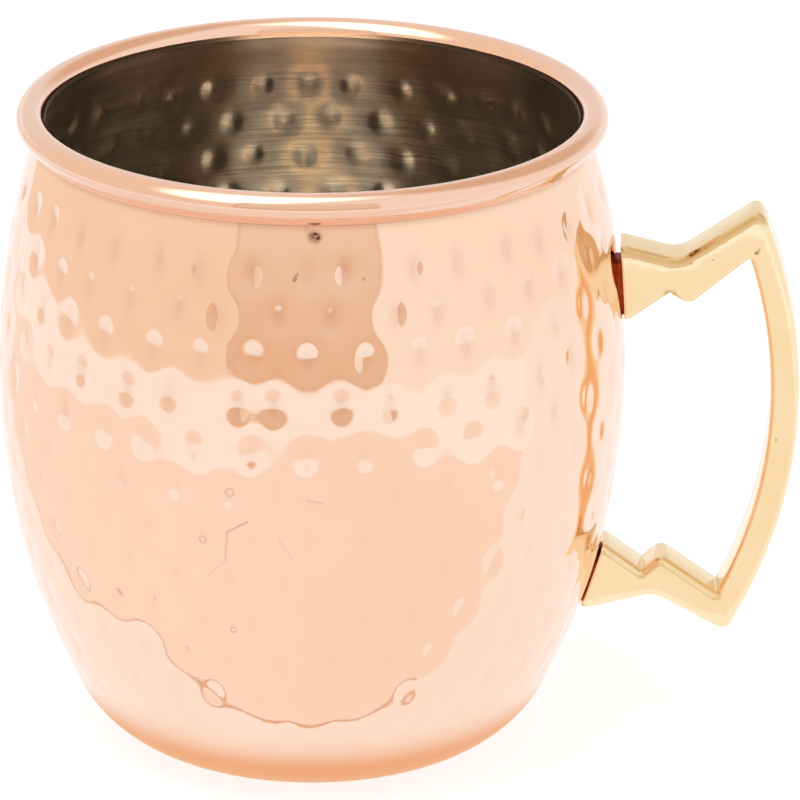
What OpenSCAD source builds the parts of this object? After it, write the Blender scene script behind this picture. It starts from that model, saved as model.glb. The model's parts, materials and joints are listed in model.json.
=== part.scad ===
// Barrel mug: a rolled copper shell over a steel liner, with a cast handle on two studs.
// Millimetres, +Z up, handle along +X, origin at the middle of the base.

/* [Cup] */
// Height from the table to the top of the rim
cup_height = 97; // [90:1:118]
// Diameter across the belly
belly_d = 92; // [78:1:112]
// Height of the widest place above the table
belly_z = 55.5; // [50:0.5:60]
// Radius of the wall's arc above the belly
shoulder_arc_r = 126; // [110:1:160]
// Radius of the wall's arc below the belly
flank_arc_r = 106; // [95:1:140]
// Radius of the round corner between wall and base
base_corner_r = 17; // [12:0.5:20]
// Angle at which the round corner meets the flat base
base_edge_angle = 15; // [5:1:25]

/* [Sheet] */
// Thickness of the copper sheet
copper_t = 0.9; // [0.6:0.05:1.3]
// Thickness of the steel liner
steel_t = 0.4; // [0.3:0.05:0.8]
// How far the liner stops below the start of the rim's roll
liner_drop = 0.6; // [0.2:0.1:2]

/* [Rim] */
// Diameter of the rolled rim
rim_roll_d = 4.2; // [3.8:0.1:5.2]
// Angle that the sheet turns round the wire
rim_roll_sweep = 294; // [270:1:295]
// Clearance between the wire and the roll
wire_clearance = 0.05; // [0.02:0.01:0.15]

/* [Handle] */
// Breadth of the handle across the grip
handle_breadth = 8; // [7:0.5:14]
// Height of the middle of the handle above the table
handle_z = 49.5; // [48:0.5:53]
// Radius of the grip's outer side
grip_outer_r = 73.4; // [61:0.2:88]
// Thickness of the grip
grip_t = 3.7; // [3:0.1:6]
// Distance of the outermost part of the grip from the belly
grip_reach = 25.4; // [24:0.2:32]
// Height of the grip's outermost part above the handle's middle
grip_rise = 3.8; // [0:0.2:6]

/* [Upper arm] */
// Height of the foot
upper_foot_h = 11.2; // [9:0.1:13.5]
// Height of the foot's middle above the handle's middle
upper_foot_up = 21.5; // [20:0.5:23]
// Distance of the notch from the belly
upper_notch_out = 6.4; // [5.5:0.1:7]
// Height of the notch above the handle's middle
upper_notch_up = 20.7; // [20.2:0.1:21.5]
// Distance of the tooth from the belly
upper_tooth_out = 9.2; // [8.7:0.1:10]
// Height of the tooth above the handle's middle
upper_tooth_up = 18.9; // [18:0.1:19.5]
// Distance of the dip in the arm's top from the belly
upper_dip_out = 7.6; // [6.5:0.1:9]
// Height of the dip above the handle's middle
upper_dip_up = 25; // [24:0.1:26]
// Height of the outer tip above the handle's middle
upper_tip_up = 33; // [31.5:0.1:34.5]
// Height of the inner corner between arm and grip above the handle's middle
upper_bend_up = 26.3; // [25:0.1:27.5]

/* [Lower arm] */
// Height of the foot
lower_foot_h = 9.8; // [8:0.1:11]
// Depth of the foot's middle below the handle's middle
lower_foot_down = 24.7; // [23.5:0.1:26]
// Distance of the notch from the belly
lower_notch_out = 3.1; // [2.4:0.1:3.6]
// Depth of the notch below the handle's middle
lower_notch_down = 24; // [23:0.1:24.5]
// Distance of the tooth from the belly
lower_tooth_out = 5.9; // [5.4:0.1:7]
// Depth of the tooth below the handle's middle
lower_tooth_down = 21.5; // [20.5:0.1:22.3]
// Distance of the dip in the arm's underside from the belly
lower_dip_out = 5; // [4:0.1:6.5]
// Depth of the dip below the handle's middle
lower_dip_down = 26.8; // [26:0.1:27.5]
// Depth of the outer tip below the handle's middle
lower_tip_down = 32.6; // [31:0.1:34]
// Depth of the inner corner between arm and grip below the handle's middle
lower_bend_down = 27.4; // [26.5:0.1:28.5]

/* [Rounding] */
// Radius of the dips
dip_round = 4.5; // [2:0.1:6]
// Radius of the teeth
tooth_round = 1.5; // [0.5:0.1:2]
// Radius of the notches
notch_round = 0.4; // [0.1:0.1:0.6]
// Radius of the outer tips
tip_round = 1.2; // [0.5:0.1:1.6]
// Radius of the inner corners between arms and grip
bend_round = 0.5; // [0.1:0.1:0.8]

/* [Joints] */
// Gap between shell and upper foot, at the foot's lower and upper edges
upper_foot_gap = [0.25, 0.85]; // [0.1:0.05:1]
// Gap between shell and lower foot, at the foot's lower and upper edges
lower_foot_gap = [0.35, 0.45]; // [0.1:0.05:1]
// Diameter of the studs
stud_d = 3; // [2:0.1:4]
// Length of a stud inside the foot
stud_depth = 4; // [3:0.1:4.5]
// Clearance round a stud, on the radius
stud_clearance = 0.05; // [0.02:0.01:0.2]
// Diameter of the filler collar round a stud
collar_d = 6.4; // [5.5:0.1:7]
// Depth of the pocket in the foot that holds the collar
collar_pocket = 1; // [0.8:0.1:1.5]

/* [Hidden] */
$fn = 128;
// Segments of the large circles
fine = 512;

copper_colour = [0.93, 0.66, 0.5];
steel_colour = [0.72, 0.72, 0.7];
brass_colour = [0.88, 0.72, 0.42];
filler_colour = [0.45, 0.32, 0.2];

// How far a stud's and a collar's cylinders start inside the cup, to be trimmed by its surfaces
cut_reach = 6;

belly_r = belly_d / 2;
// Centres of the two arcs of the wall, both level with the belly
shoulder_x = belly_r - shoulder_arc_r;
flank_x = belly_r - flank_arc_r;
// Centre of the round base corner, which is tangent to the lower arc
corner_z = base_corner_r * cos(base_edge_angle);
corner_x = flank_x + sqrt(pow(flank_arc_r - base_corner_r, 2) - pow(belly_z - corner_z, 2));
corner_angle = atan2(belly_z - corner_z, corner_x - flank_x);
// Centre of the rolled rim, whose outside is tangent to the inside of the wall
roll_r = rim_roll_d / 2;
wire_r = roll_r - copper_t - wire_clearance;
roll_z = cup_height - roll_r;
roll_x = shoulder_x + sqrt(pow(shoulder_arc_r - copper_t + roll_r, 2) - pow(roll_z - belly_z, 2));
// Angles, seen from the upper arc's centre, at which the roll starts and the liner ends
roll_angle = atan2(roll_z - belly_z, roll_x - shoulder_x);
liner_angle = roll_angle - liner_drop / shoulder_arc_r * 180 / PI;
// Centre of the grip's bow
grip_x = belly_r + grip_reach - grip_outer_r;
grip_z = handle_z + grip_rise;
grip_inner_r = grip_outer_r - grip_t;

// Radius of the shell's outside at height z, between the base corner and the rim
function wall_r(z) = z > belly_z
    ? shoulder_x + sqrt(pow(shoulder_arc_r, 2) - pow(z - belly_z, 2))
    : flank_x + sqrt(pow(flank_arc_r, 2) - pow(z - belly_z, 2));

// Lower and upper ends of a foot's end face, in the handle's plane
function foot_face(z, h, gap) = [[wall_r(z - h / 2) + gap[0], z - h / 2],
                                 [wall_r(z + h / 2) + gap[1], z + h / 2]];
upper_face = foot_face(handle_z + upper_foot_up, upper_foot_h, upper_foot_gap);
lower_face = foot_face(handle_z - lower_foot_down, lower_foot_h, lower_foot_gap);

// A point of the handle's outline, out from the belly and up from the handle's middle, with its rounding
function spot(out, up, r) = [belly_r + out, handle_z + up, r];
function corner(p, r) = [p[0], p[1], r];
// Where the grip's outer or inner side passes height z
function grip_at(r, z, rounding) = [grip_x + sqrt(r * r - pow(z - grip_z, 2)), z, rounding];

function unit(v) = v / norm(v);
function flat(p) = [p[0], p[1]];
// Points of the arc that rounds corner b between its neighbours a and c
function rounded_corner(a, b, c, steps = 8) =
    let (u = unit(flat(a) - flat(b)), v = unit(flat(c) - flat(b)))
    let (half = acos(u * v) / 2, r = b[2])
    let (centre = flat(b) + unit(u + v) * r / sin(half))
    let (p = flat(b) + u * r / tan(half) - centre, q = flat(b) + v * r / tan(half) - centre)
    r == 0 ? [flat(b)] : [for (i = [0 : steps]) centre + r * unit(p * (1 - i / steps) + q * i / steps)];
// Points of the grip's bow from height z0 to z1
function bow(r, z0, z1, steps = 28) = [for (i = [1 : steps - 1]) grip_at(r, z0 + (z1 - z0) * i / steps, 0)];
function rounded_outline(pts) =
    let (n = len(pts))
    [for (i = [0 : n - 1]) each rounded_corner(pts[(i + n - 1) % n], pts[i], pts[(i + 1) % n])];

// The two arms and the bow between them, in order round the outline from the upper foot's lower edge
outer_top = grip_at(grip_outer_r, handle_z + upper_tip_up, tip_round);
outer_low = grip_at(grip_outer_r, handle_z - lower_tip_down, tip_round);
inner_top = grip_at(grip_inner_r, handle_z + upper_bend_up, bend_round);
inner_low = grip_at(grip_inner_r, handle_z - lower_bend_down, bend_round);
upper_under = [corner(upper_face[0], 0),
               spot(upper_notch_out, upper_notch_up, notch_round),
               spot(upper_tooth_out, upper_tooth_up, tooth_round)];
lower_top = [spot(lower_tooth_out, -lower_tooth_down, tooth_round),
             spot(lower_notch_out, -lower_notch_down, notch_round),
             corner(lower_face[1], 0)];
lower_under = [corner(lower_face[0], 0), spot(lower_dip_out, -lower_dip_down, dip_round)];
upper_top = [spot(upper_dip_out, upper_dip_up, dip_round), corner(upper_face[1], 0)];
handle_outline = concat(
    upper_under, [inner_top], bow(grip_inner_r, inner_top[1], inner_low[1]), [inner_low],
    lower_top, lower_under, [outer_low], bow(grip_outer_r, outer_low[1], outer_top[1]), [outer_top],
    upper_top);

// Everything inside the cup's outside, shrunk by inset, as a half profile.
// The lower arc ends where the corner's arc takes over, so each shape runs on into the next.
module cup_region(inset) {
    corner_end_z = corner_z - (base_corner_r - inset) * sin(corner_angle);
    intersection() {
        translate([shoulder_x, belly_z]) circle(r = shoulder_arc_r - inset, $fn = fine);
        translate([0, belly_z]) square([belly_d, cup_height]);
    }
    intersection() {
        translate([flank_x, belly_z]) circle(r = flank_arc_r - inset, $fn = fine);
        translate([0, corner_end_z]) square([belly_d, cup_height - corner_end_z]);
    }
    intersection() {
        union() {
            translate([corner_x, corner_z]) circle(r = base_corner_r - inset, $fn = fine);
            square([corner_x, belly_z]);
        }
        translate([0, inset]) square([belly_d, belly_z]);
    }
}

module cup_solid(inset) {
    rotate_extrude($fn = fine) cup_region(inset);
}

// The half profile's side below a line from the upper arc's centre at an angle
module below_line(angle) {
    start_z = belly_z - shoulder_x * tan(angle);
    end_z = belly_z + (belly_r - shoulder_x) * tan(angle);
    polygon([[0, 0], [belly_r, 0], [belly_r, end_z], [0, start_z]]);
}

// A cup of one sheet between two insets, up to an angle on the upper arc
module sheet_cup(outside, inside, angle) {
    intersection() {
        difference() {
            cup_region(outside);
            cup_region(inside);
        }
        below_line(angle);
    }
}

// The rim's roll, open between the wall and the sheet's end
module rim_roll() {
    open_from = roll_angle + 180;
    open_to = roll_angle + 540 - rim_roll_sweep;
    reach = rim_roll_d;
    translate([roll_x, roll_z])
        difference() {
            circle(r = roll_r);
            circle(r = roll_r - copper_t);
            polygon([[0, 0],
                     reach * [cos(open_from), sin(open_from)],
                     reach * [cos((open_from + open_to) / 2), sin((open_from + open_to) / 2)],
                     reach * [cos(open_to), sin(open_to)]]);
        }
}

// Puts its children at the middle of a foot's end face, +Z out into the foot
module at_foot(face) {
    middle = (face[0] + face[1]) / 2;
    lean = atan2(face[0][0] - face[1][0], face[1][1] - face[0][1]);
    translate([middle[0], 0, middle[1]])
        rotate([0, 90 - lean, 0])
            children();
}

// A stud's hole, from inside the cup to the bottom of the foot's blind hole
module stud_hole(face) {
    at_foot(face)
        translate([0, 0, -cut_reach])
            cylinder(r = stud_d / 2 + stud_clearance, h = cut_reach + stud_depth + stud_clearance);
}

// A stud that stands on the liner, goes through the shell and ends in the foot
module stud(face) {
    difference() {
        at_foot(face)
            translate([0, 0, -cut_reach])
                cylinder(d = stud_d, h = cut_reach + stud_depth);
        cup_solid(copper_t);
    }
}

// A collar's full cylinder, from inside the cup to the bottom of the foot's pocket
module collar_space(face) {
    at_foot(face)
        translate([0, 0, -cut_reach])
            cylinder(d = collar_d, h = cut_reach + collar_pocket);
}

// A collar of filler that fills the foot's pocket and the gap to the shell
module braze(face) {
    difference() {
        collar_space(face);
        cup_solid(0);
        stud_hole(face);
    }
}

module copper_shell() {
    color(copper_colour)
        difference() {
            rotate_extrude() {
                sheet_cup(0, copper_t, roll_angle);
                rim_roll();
            }
            stud_hole(upper_face);
            stud_hole(lower_face);
        }
}

module steel_liner() {
    color(steel_colour)
        rotate_extrude()
            sheet_cup(copper_t, copper_t + steel_t, liner_angle);
}

module rim_wire() {
    color(steel_colour)
        rotate_extrude()
            translate([roll_x, roll_z])
                circle(r = wire_r);
}

module brass_handle() {
    color(brass_colour)
        difference() {
            translate([0, handle_breadth / 2, 0])
                rotate([90, 0, 0])
                    linear_extrude(height = handle_breadth)
                        polygon(rounded_outline(handle_outline));
            stud_hole(upper_face);
            stud_hole(lower_face);
            collar_space(upper_face);
            collar_space(lower_face);
        }
}

module upper_stud() {
    color(steel_colour) stud(upper_face);
}

module lower_stud() {
    color(steel_colour) stud(lower_face);
}

module upper_braze() {
    color(filler_colour) braze(upper_face);
}

module lower_braze() {
    color(filler_colour) braze(lower_face);
}

copper_shell();
steel_liner();
rim_wire();
brass_handle();
upper_stud();
lower_stud();
upper_braze();
lower_braze();
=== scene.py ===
"""Visible model of a hammered copper barrel mug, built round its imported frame."""

import json
import logging
import math
import random
from dataclasses import dataclass, field
from enum import Enum

import bmesh
import bpy
import numpy as np
from mathutils import Matrix, Vector
from mathutils.geometry import delaunay_2d_cdt

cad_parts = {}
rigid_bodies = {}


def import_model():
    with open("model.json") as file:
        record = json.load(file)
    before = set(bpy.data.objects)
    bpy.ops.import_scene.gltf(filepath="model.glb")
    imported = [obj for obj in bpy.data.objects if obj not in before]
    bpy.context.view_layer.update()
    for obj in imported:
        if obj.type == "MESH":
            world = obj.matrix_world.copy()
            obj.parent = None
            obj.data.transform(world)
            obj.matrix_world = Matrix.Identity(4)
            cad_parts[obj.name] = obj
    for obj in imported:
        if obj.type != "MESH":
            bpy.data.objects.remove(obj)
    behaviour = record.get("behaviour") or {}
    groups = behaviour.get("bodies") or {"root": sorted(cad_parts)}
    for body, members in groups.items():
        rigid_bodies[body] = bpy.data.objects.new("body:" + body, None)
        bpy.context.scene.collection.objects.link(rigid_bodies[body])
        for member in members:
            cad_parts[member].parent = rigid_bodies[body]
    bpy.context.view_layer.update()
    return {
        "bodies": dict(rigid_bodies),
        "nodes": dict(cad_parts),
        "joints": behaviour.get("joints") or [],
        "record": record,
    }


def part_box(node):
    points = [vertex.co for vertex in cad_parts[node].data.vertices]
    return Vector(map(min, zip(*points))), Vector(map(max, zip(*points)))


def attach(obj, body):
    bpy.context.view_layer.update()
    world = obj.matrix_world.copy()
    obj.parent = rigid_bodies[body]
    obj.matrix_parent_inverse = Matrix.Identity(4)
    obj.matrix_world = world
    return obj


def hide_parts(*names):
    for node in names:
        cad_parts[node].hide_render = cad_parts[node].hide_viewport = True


LOG = logging.getLogger("copper_mug")
ROOT = "root"
PICTURE_WIDTH = 800

# Metres in a millimetre, and angles in degrees
MM = 0.001
FULL_TURN = 360.0
RIGHT_ANGLE = 90.0

# Smallest radius in a material and smallest number in a mesh that anything is divided by
TINY = 1e-5
NEARLY_NONE = 1e-12

# Kind of triangulation that fills an outline and leaves out what lies outside it
FILL_INSIDE = 1

# Numbers of a colour mix's inputs, which are its factor and two colours, and of its output
MIX_INPUTS = (0, 6, 7)
MIX_OUTPUT = 2

# Depth of turned lines at full bump strength, in metres
LINE_DEPTH = 0.2 * MM

# Values that meshes carry for their finishes
# Share by which the copper is darker in the middles of the dents and over the outer roll
DENT = "dent_darkening"
# Share of painted shade in the crease under the rolled rim
CREASE = "crease_painted_shade"
# Share of painted dark reflection along the handle's upper edges
EDGE_REFLECTION = "painted_edge_reflection"

Colour = tuple[float, float, float]
Face = tuple[int, ...]


class Slot(Enum):
    """Names of the record's material slots, which the new pieces don't use."""

    COPPER = "copper"
    LINER = "liner_steel"
    BRASS = "brass"
    FILLER = "filler"


class Effect(Enum):
    """Surface effects that more than one finish uses, each one node group."""

    FILM = "handling_film"
    LINES = "turned_lines"
    PITS = "fine_pits"
    SCRATCH = "scratch_mark"


def rgba(colour: Colour) -> tuple[float, float, float, float]:
    """Give a colour its full alpha."""
    return (*colour, 1.0)


class Wiring:
    """Adds nodes to one node tree and joins their sockets."""

    def __init__(self, tree: bpy.types.NodeTree) -> None:
        """Keep the tree that the nodes go into."""
        self.tree = tree

    def node(self, kind: str, inputs: dict | None = None, **attributes: object) -> bpy.types.Node:
        """Add a node.

        Args:
            kind: The node's type name.
            inputs: Sockets by name or number; a socket as value is joined, anything else is set.
            attributes: Properties of the node itself.

        Returns:
            The new node.
        """
        made = self.tree.nodes.new(kind)
        for name, value in attributes.items():
            setattr(made, name, value)
        for key, value in (inputs or {}).items():
            self.feed(made.inputs[key], value)
        return made

    def feed(self, socket: bpy.types.NodeSocket, value: object) -> None:
        """Join a socket to another, or set its value.

        Args:
            socket: The input socket.
            value: The output socket that feeds it, or the value that it keeps.
        """
        if isinstance(value, bpy.types.NodeSocket):
            self.tree.links.new(value, socket)
        else:
            socket.default_value = value

    def math(self, operation: str, *values: object) -> bpy.types.NodeSocket:
        """Combine values or sockets with one arithmetic operation."""
        return self.node("ShaderNodeMath", dict(enumerate(values)), operation=operation).outputs[0]

    def vector(self, operation: str, *values: object) -> bpy.types.Node:
        """Combine vectors or sockets with one vector operation."""
        return self.node("ShaderNodeVectorMath", dict(enumerate(values)), operation=operation)

    def remap(self, value: object, low: float, high: float, start: object = 0.0, end: object = 1.0,
              smooth: bool = True) -> bpy.types.NodeSocket:
        """Map a value from low..high to start..end, held at both ends.

        Args:
            value: The socket or number to map.
            low: Value that gives start.
            high: Value that gives end.
            start: Number or socket at the low end.
            end: Number or socket at the high end.
            smooth: True for an eased step, False for a straight one.

        Returns:
            The mapped value.
        """
        kind = "SMOOTHSTEP" if smooth else "LINEAR"
        inputs = {0: value, 1: low, 2: high, 3: start, 4: end}
        return self.node("ShaderNodeMapRange", inputs, interpolation_type=kind).outputs[0]

    def blend(self, factor: object, first: object, second: object) -> bpy.types.NodeSocket:
        """Mix two colours by a factor, where each may be a colour or a socket.

        Args:
            factor: The second colour's share, a number or a socket.
            first: The first colour.
            second: The second colour.

        Returns:
            The mixed colour.
        """
        made = self.node("ShaderNodeMix", data_type="RGBA", blend_type="MIX")
        pair = [rgba(c) if isinstance(c, tuple) else c for c in (first, second)]
        for number, value in zip(MIX_INPUTS, (factor, *pair)):
            self.feed(made.inputs[number], value)
        return made.outputs[MIX_OUTPUT]

    def place(self) -> bpy.types.NodeSocket:
        """Give the place on the object itself."""
        return self.node("ShaderNodeTexCoord").outputs["Object"]

    def parts(self, place: bpy.types.NodeSocket) -> list[bpy.types.NodeSocket]:
        """Split a place into its x, y and z."""
        return list(self.node("ShaderNodeSeparateXYZ", {0: place}).outputs)

    def joined(self, *parts: object) -> bpy.types.NodeSocket:
        """Make a place of its parts."""
        return self.node("ShaderNodeCombineXYZ", dict(enumerate(parts))).outputs[0]

    def radius(self, x: object, y: object) -> bpy.types.NodeSocket:
        """Give the distance from the upright axis."""
        squares = [self.math("MULTIPLY", part, part) for part in (x, y)]
        return self.math("SQRT", self.math("ADD", *squares))

    def attribute(self, name: str) -> bpy.types.NodeSocket:
        """Give a value that the mesh carries for each point."""
        return self.node("ShaderNodeAttribute", attribute_name=name).outputs["Fac"]

    def bump(self, shader: bpy.types.Node, height: bpy.types.NodeSocket, strength: float,
             distance: float) -> None:
        """Roughen a shader's normal by a height, to a depth in metres."""
        inputs = {"Strength": strength, "Distance": distance, "Height": height}
        self.feed(shader.inputs["Normal"], self.node("ShaderNodeBump", inputs).outputs[0])

    def group(self, tree: bpy.types.NodeTree, **inputs: object) -> bpy.types.Node:
        """Place a node group and give its named inputs their values.

        Args:
            tree: The group.
            inputs: A value or a socket for each named input.

        Returns:
            The placed group.
        """
        made = self.node("ShaderNodeGroup")
        made.node_tree = tree
        for name, value in inputs.items():
            self.feed(made.inputs[name], value)
        return made


def blank_material(name: str) -> tuple[bpy.types.Material, Wiring]:
    """Make a material with no nodes yet.

    Args:
        name: The material's name.

    Returns:
        The material and its wiring.
    """
    material = bpy.data.materials.new(name)
    material.use_nodes = True
    material.node_tree.nodes.clear()
    return material, Wiring(material.node_tree)


@dataclass
class EffectGroups:
    """The shared node groups, each built the first time a finish asks for it."""

    film_detail: float = 4.0
    film_distortion: float = 0.6
    film_limits: tuple[float, float] = (0.42, 0.66)
    grain_fineness: float = 9.0
    grain_detail: float = 3.0
    grain_limits: tuple[float, float] = (0.3, 0.7)
    grain_low: float = 0.55
    line_detail: float = 5.0
    line_roughness: float = 0.65
    scratch_core: float = 0.35
    made: dict[Effect, bpy.types.NodeTree] = field(default_factory=dict)

    def get(self, effect: Effect) -> bpy.types.NodeTree:
        """Give the node group of an effect.

        Args:
            effect: The effect.

        Returns:
            Its group.
        """
        if effect not in self.made:
            builders = {
                Effect.FILM: self._film,
                Effect.LINES: self._lines,
                Effect.PITS: self._pits,
                Effect.SCRATCH: self._scratch,
            }
            self.made[effect] = builders[effect]()
        return self.made[effect]

    @staticmethod
    def _start(effect: Effect, inputs: dict[str, str], outputs: dict[str, str]
               ) -> tuple[Wiring, bpy.types.Node, bpy.types.Node]:
        """Make an empty group with named sockets.

        Args:
            effect: The effect, whose value names the group.
            inputs: Socket types by input name.
            outputs: Socket types by output name.

        Returns:
            The group's wiring, its input node and its output node.
        """
        tree = bpy.data.node_groups.new(effect.value, "ShaderNodeTree")
        for name, kind in inputs.items():
            tree.interface.new_socket(name, in_out="INPUT", socket_type=kind)
        for name, kind in outputs.items():
            tree.interface.new_socket(name, in_out="OUTPUT", socket_type=kind)
        wiring = Wiring(tree)
        return wiring, wiring.node("NodeGroupInput"), wiring.node("NodeGroupOutput")

    def _film(self) -> bpy.types.NodeTree:
        """Faint film left by handling, as a patchy mask and the roughness that follows it.

        Returns:
            The group.
        """
        floats = dict.fromkeys(("Scale", "Clean", "Smudged"), "NodeSocketFloat")
        w, given, out = self._start(Effect.FILM, floats,
                                    {"Mask": "NodeSocketFloat", "Roughness": "NodeSocketFloat"})
        place, scale = w.place(), given.outputs["Scale"]
        broad = w.node("ShaderNodeTexNoise", {"Vector": place, "Scale": scale, "Detail": self.film_detail,
                                              "Distortion": self.film_distortion})
        mask = w.remap(broad.outputs[0], *self.film_limits)
        fine_scale = w.math("MULTIPLY", scale, self.grain_fineness)
        fine = w.node("ShaderNodeTexNoise", {"Vector": place, "Detail": self.grain_detail,
                                             "Scale": fine_scale})
        grain = w.remap(fine.outputs[0], *self.grain_limits, self.grain_low, 1.0)
        mask = w.math("MULTIPLY", mask, grain)
        w.feed(out.inputs["Mask"], mask)
        clean, smudged = given.outputs["Clean"], given.outputs["Smudged"]
        rough = w.remap(mask, 0.0, 1.0, clean, smudged, smooth=False)
        w.feed(out.inputs["Roughness"], rough)
        return w.tree

    def _lines(self) -> bpy.types.NodeTree:
        """Fine lines that run round the Z axis, as left by turning and brushing.

        Returns:
            The group.
        """
        floats = dict.fromkeys(("Density", "Waver"), "NodeSocketFloat")
        w, given, out = self._start(Effect.LINES, floats, {"Height": "NodeSocketFloat"})
        x, y, z = w.parts(w.place())
        radius = w.radius(x, y)
        across = w.math("MULTIPLY", w.math("SUBTRACT", z, radius), given.outputs["Density"])
        safe = w.math("MAXIMUM", radius, TINY)
        round_x = w.math("MULTIPLY", w.math("DIVIDE", x, safe), given.outputs["Waver"])
        round_y = w.math("MULTIPLY", w.math("DIVIDE", y, safe), given.outputs["Waver"])
        along = w.joined(round_x, round_y, across)
        noise = w.node("ShaderNodeTexNoise", {"Vector": along, "Scale": 1.0, "Detail": self.line_detail,
                                              "Roughness": self.line_roughness})
        w.feed(out.inputs["Height"], noise.outputs[0])
        return w.tree

    def _pits(self) -> bpy.types.NodeTree:
        """Scattered small pits, most places having none, as a mask.

        Returns:
            The group.
        """
        floats = dict.fromkeys(("Scale", "Share", "Size"), "NodeSocketFloat")
        w, given, out = self._start(Effect.PITS, floats, {"Mask": "NodeSocketFloat"})
        cells = w.node("ShaderNodeTexVoronoi", {"Vector": w.place(), "Scale": given.outputs["Scale"]})
        draw = w.node("ShaderNodeSeparateColor", {0: cells.outputs["Color"]}).outputs[0]
        chosen = w.math("LESS_THAN", draw, given.outputs["Share"])
        near = w.math("LESS_THAN", cells.outputs["Distance"], given.outputs["Size"])
        w.feed(out.inputs["Mask"], w.math("MULTIPLY", chosen, near))
        return w.tree

    def _scratch(self) -> bpy.types.NodeTree:
        """One thin mark as a mask: a scratch between two places, or a ring round one place.

        Returns:
            The group.
        """
        kinds = dict.fromkeys(("Place", "From", "To"), "NodeSocketVector")
        kinds |= dict.fromkeys(("Width", "Radius"), "NodeSocketFloat")
        w, given, out = self._start(Effect.SCRATCH, kinds, {"Mask": "NodeSocketFloat"})
        along = w.vector("SUBTRACT", given.outputs["To"], given.outputs["From"]).outputs[0]
        away = w.vector("SUBTRACT", given.outputs["Place"], given.outputs["From"]).outputs[0]
        share = w.math("DIVIDE", w.vector("DOT_PRODUCT", away, along).outputs["Value"],
                       w.vector("DOT_PRODUCT", along, along).outputs["Value"])
        share = w.node("ShaderNodeClamp", {0: share}).outputs[0]
        scaled = w.node("ShaderNodeVectorMath", {0: along, "Scale": share}, operation="SCALE")
        gap = w.vector("DISTANCE", away, scaled.outputs[0]).outputs["Value"]
        gap = w.math("ABSOLUTE", w.math("SUBTRACT", gap, given.outputs["Radius"]))
        relative = w.math("DIVIDE", gap, given.outputs["Width"])
        w.feed(out.inputs["Mask"], w.remap(relative, self.scratch_core, 1.0, 1.0, 0.0))
        return w.tree


@dataclass(frozen=True)
class Film:
    """A handling film: how fine its patches are, and the roughness where it is clean and smudged."""

    scale: float
    clean: float
    smudged: float

    def place(self, w: Wiring, effects: EffectGroups) -> bpy.types.Node:
        """Place the film's node group in a material."""
        return w.group(effects.get(Effect.FILM), Scale=self.scale, Clean=self.clean,
                       Smudged=self.smudged)


@dataclass(frozen=True)
class Pitting:
    """Fine pits: how close their cells lie, the share of cells with a pit, and a pit's size in its cell."""

    scale: float
    share: float
    size: float

    def mask(self, w: Wiring, effects: EffectGroups) -> bpy.types.NodeSocket:
        """Place the pits' node group in a material and give its mask."""
        made = w.group(effects.get(Effect.PITS), Scale=self.scale, Share=self.share, Size=self.size)
        return made.outputs["Mask"]


@dataclass(frozen=True)
class Brushing:
    """Turned lines: how many to a metre, how much they waver, and the strength of their bump."""

    density: float
    waver: float
    strength: float

    def height(self, w: Wiring, effects: EffectGroups) -> bpy.types.NodeSocket:
        """Place the lines' node group in a material and give their height."""
        made = w.group(effects.get(Effect.LINES), Density=self.density, Waver=self.waver)
        return made.outputs["Height"]


@dataclass(frozen=True)
class Mark:
    """A small mark: its two ends on the surface laid flat, its width and ring radius in millimetres."""

    start: tuple[float, float]
    end: tuple[float, float]
    width: float
    strength: float
    radius: float = 0.0

    def mask(self, w: Wiring, effects: EffectGroups, place: bpy.types.NodeSocket
             ) -> bpy.types.NodeSocket:
        """Place the mark's node group.

        Args:
            w: The material's wiring.
            effects: The shared node groups.
            place: The spot on the flat surface, in metres.

        Returns:
            The mark's mask, up to its strength.
        """
        ends = [(across * MM, height * MM, 0.0) for across, height in (self.start, self.end)]
        made = w.group(effects.get(Effect.SCRATCH), Place=place, From=ends[0], To=ends[1],
                       Width=self.width * MM, Radius=self.radius * MM)
        return w.math("MULTIPLY", made.outputs["Mask"], self.strength)


class Finish:
    """What every finish shares: a material with one Principled shader, and marks on it."""

    name = "finish"

    @staticmethod
    def marked(w: Wiring, effects: EffectGroups, place: bpy.types.NodeSocket, marks: tuple[Mark, ...]
               ) -> bpy.types.NodeSocket:
        """Join the masks of several marks.

        Args:
            w: The material's wiring.
            effects: The shared node groups.
            place: The spot on the flat surface, in metres.
            marks: The marks.

        Returns:
            The strongest mark at each spot.
        """
        total: object = 0.0
        for mark in marks:
            total = w.math("MAXIMUM", total, mark.mask(w, effects, place))
        return total

    def start(self) -> tuple[bpy.types.Material, Wiring, bpy.types.Node]:
        """Make an empty material.

        Returns:
            The material, its wiring and its Principled shader.
        """
        material, wiring = blank_material(self.name)
        shader = wiring.node("ShaderNodeBsdfPrincipled", {"Metallic": 1.0})
        wiring.node("ShaderNodeOutputMaterial", {"Surface": shader.outputs[0]})
        return material, wiring, shader


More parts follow.
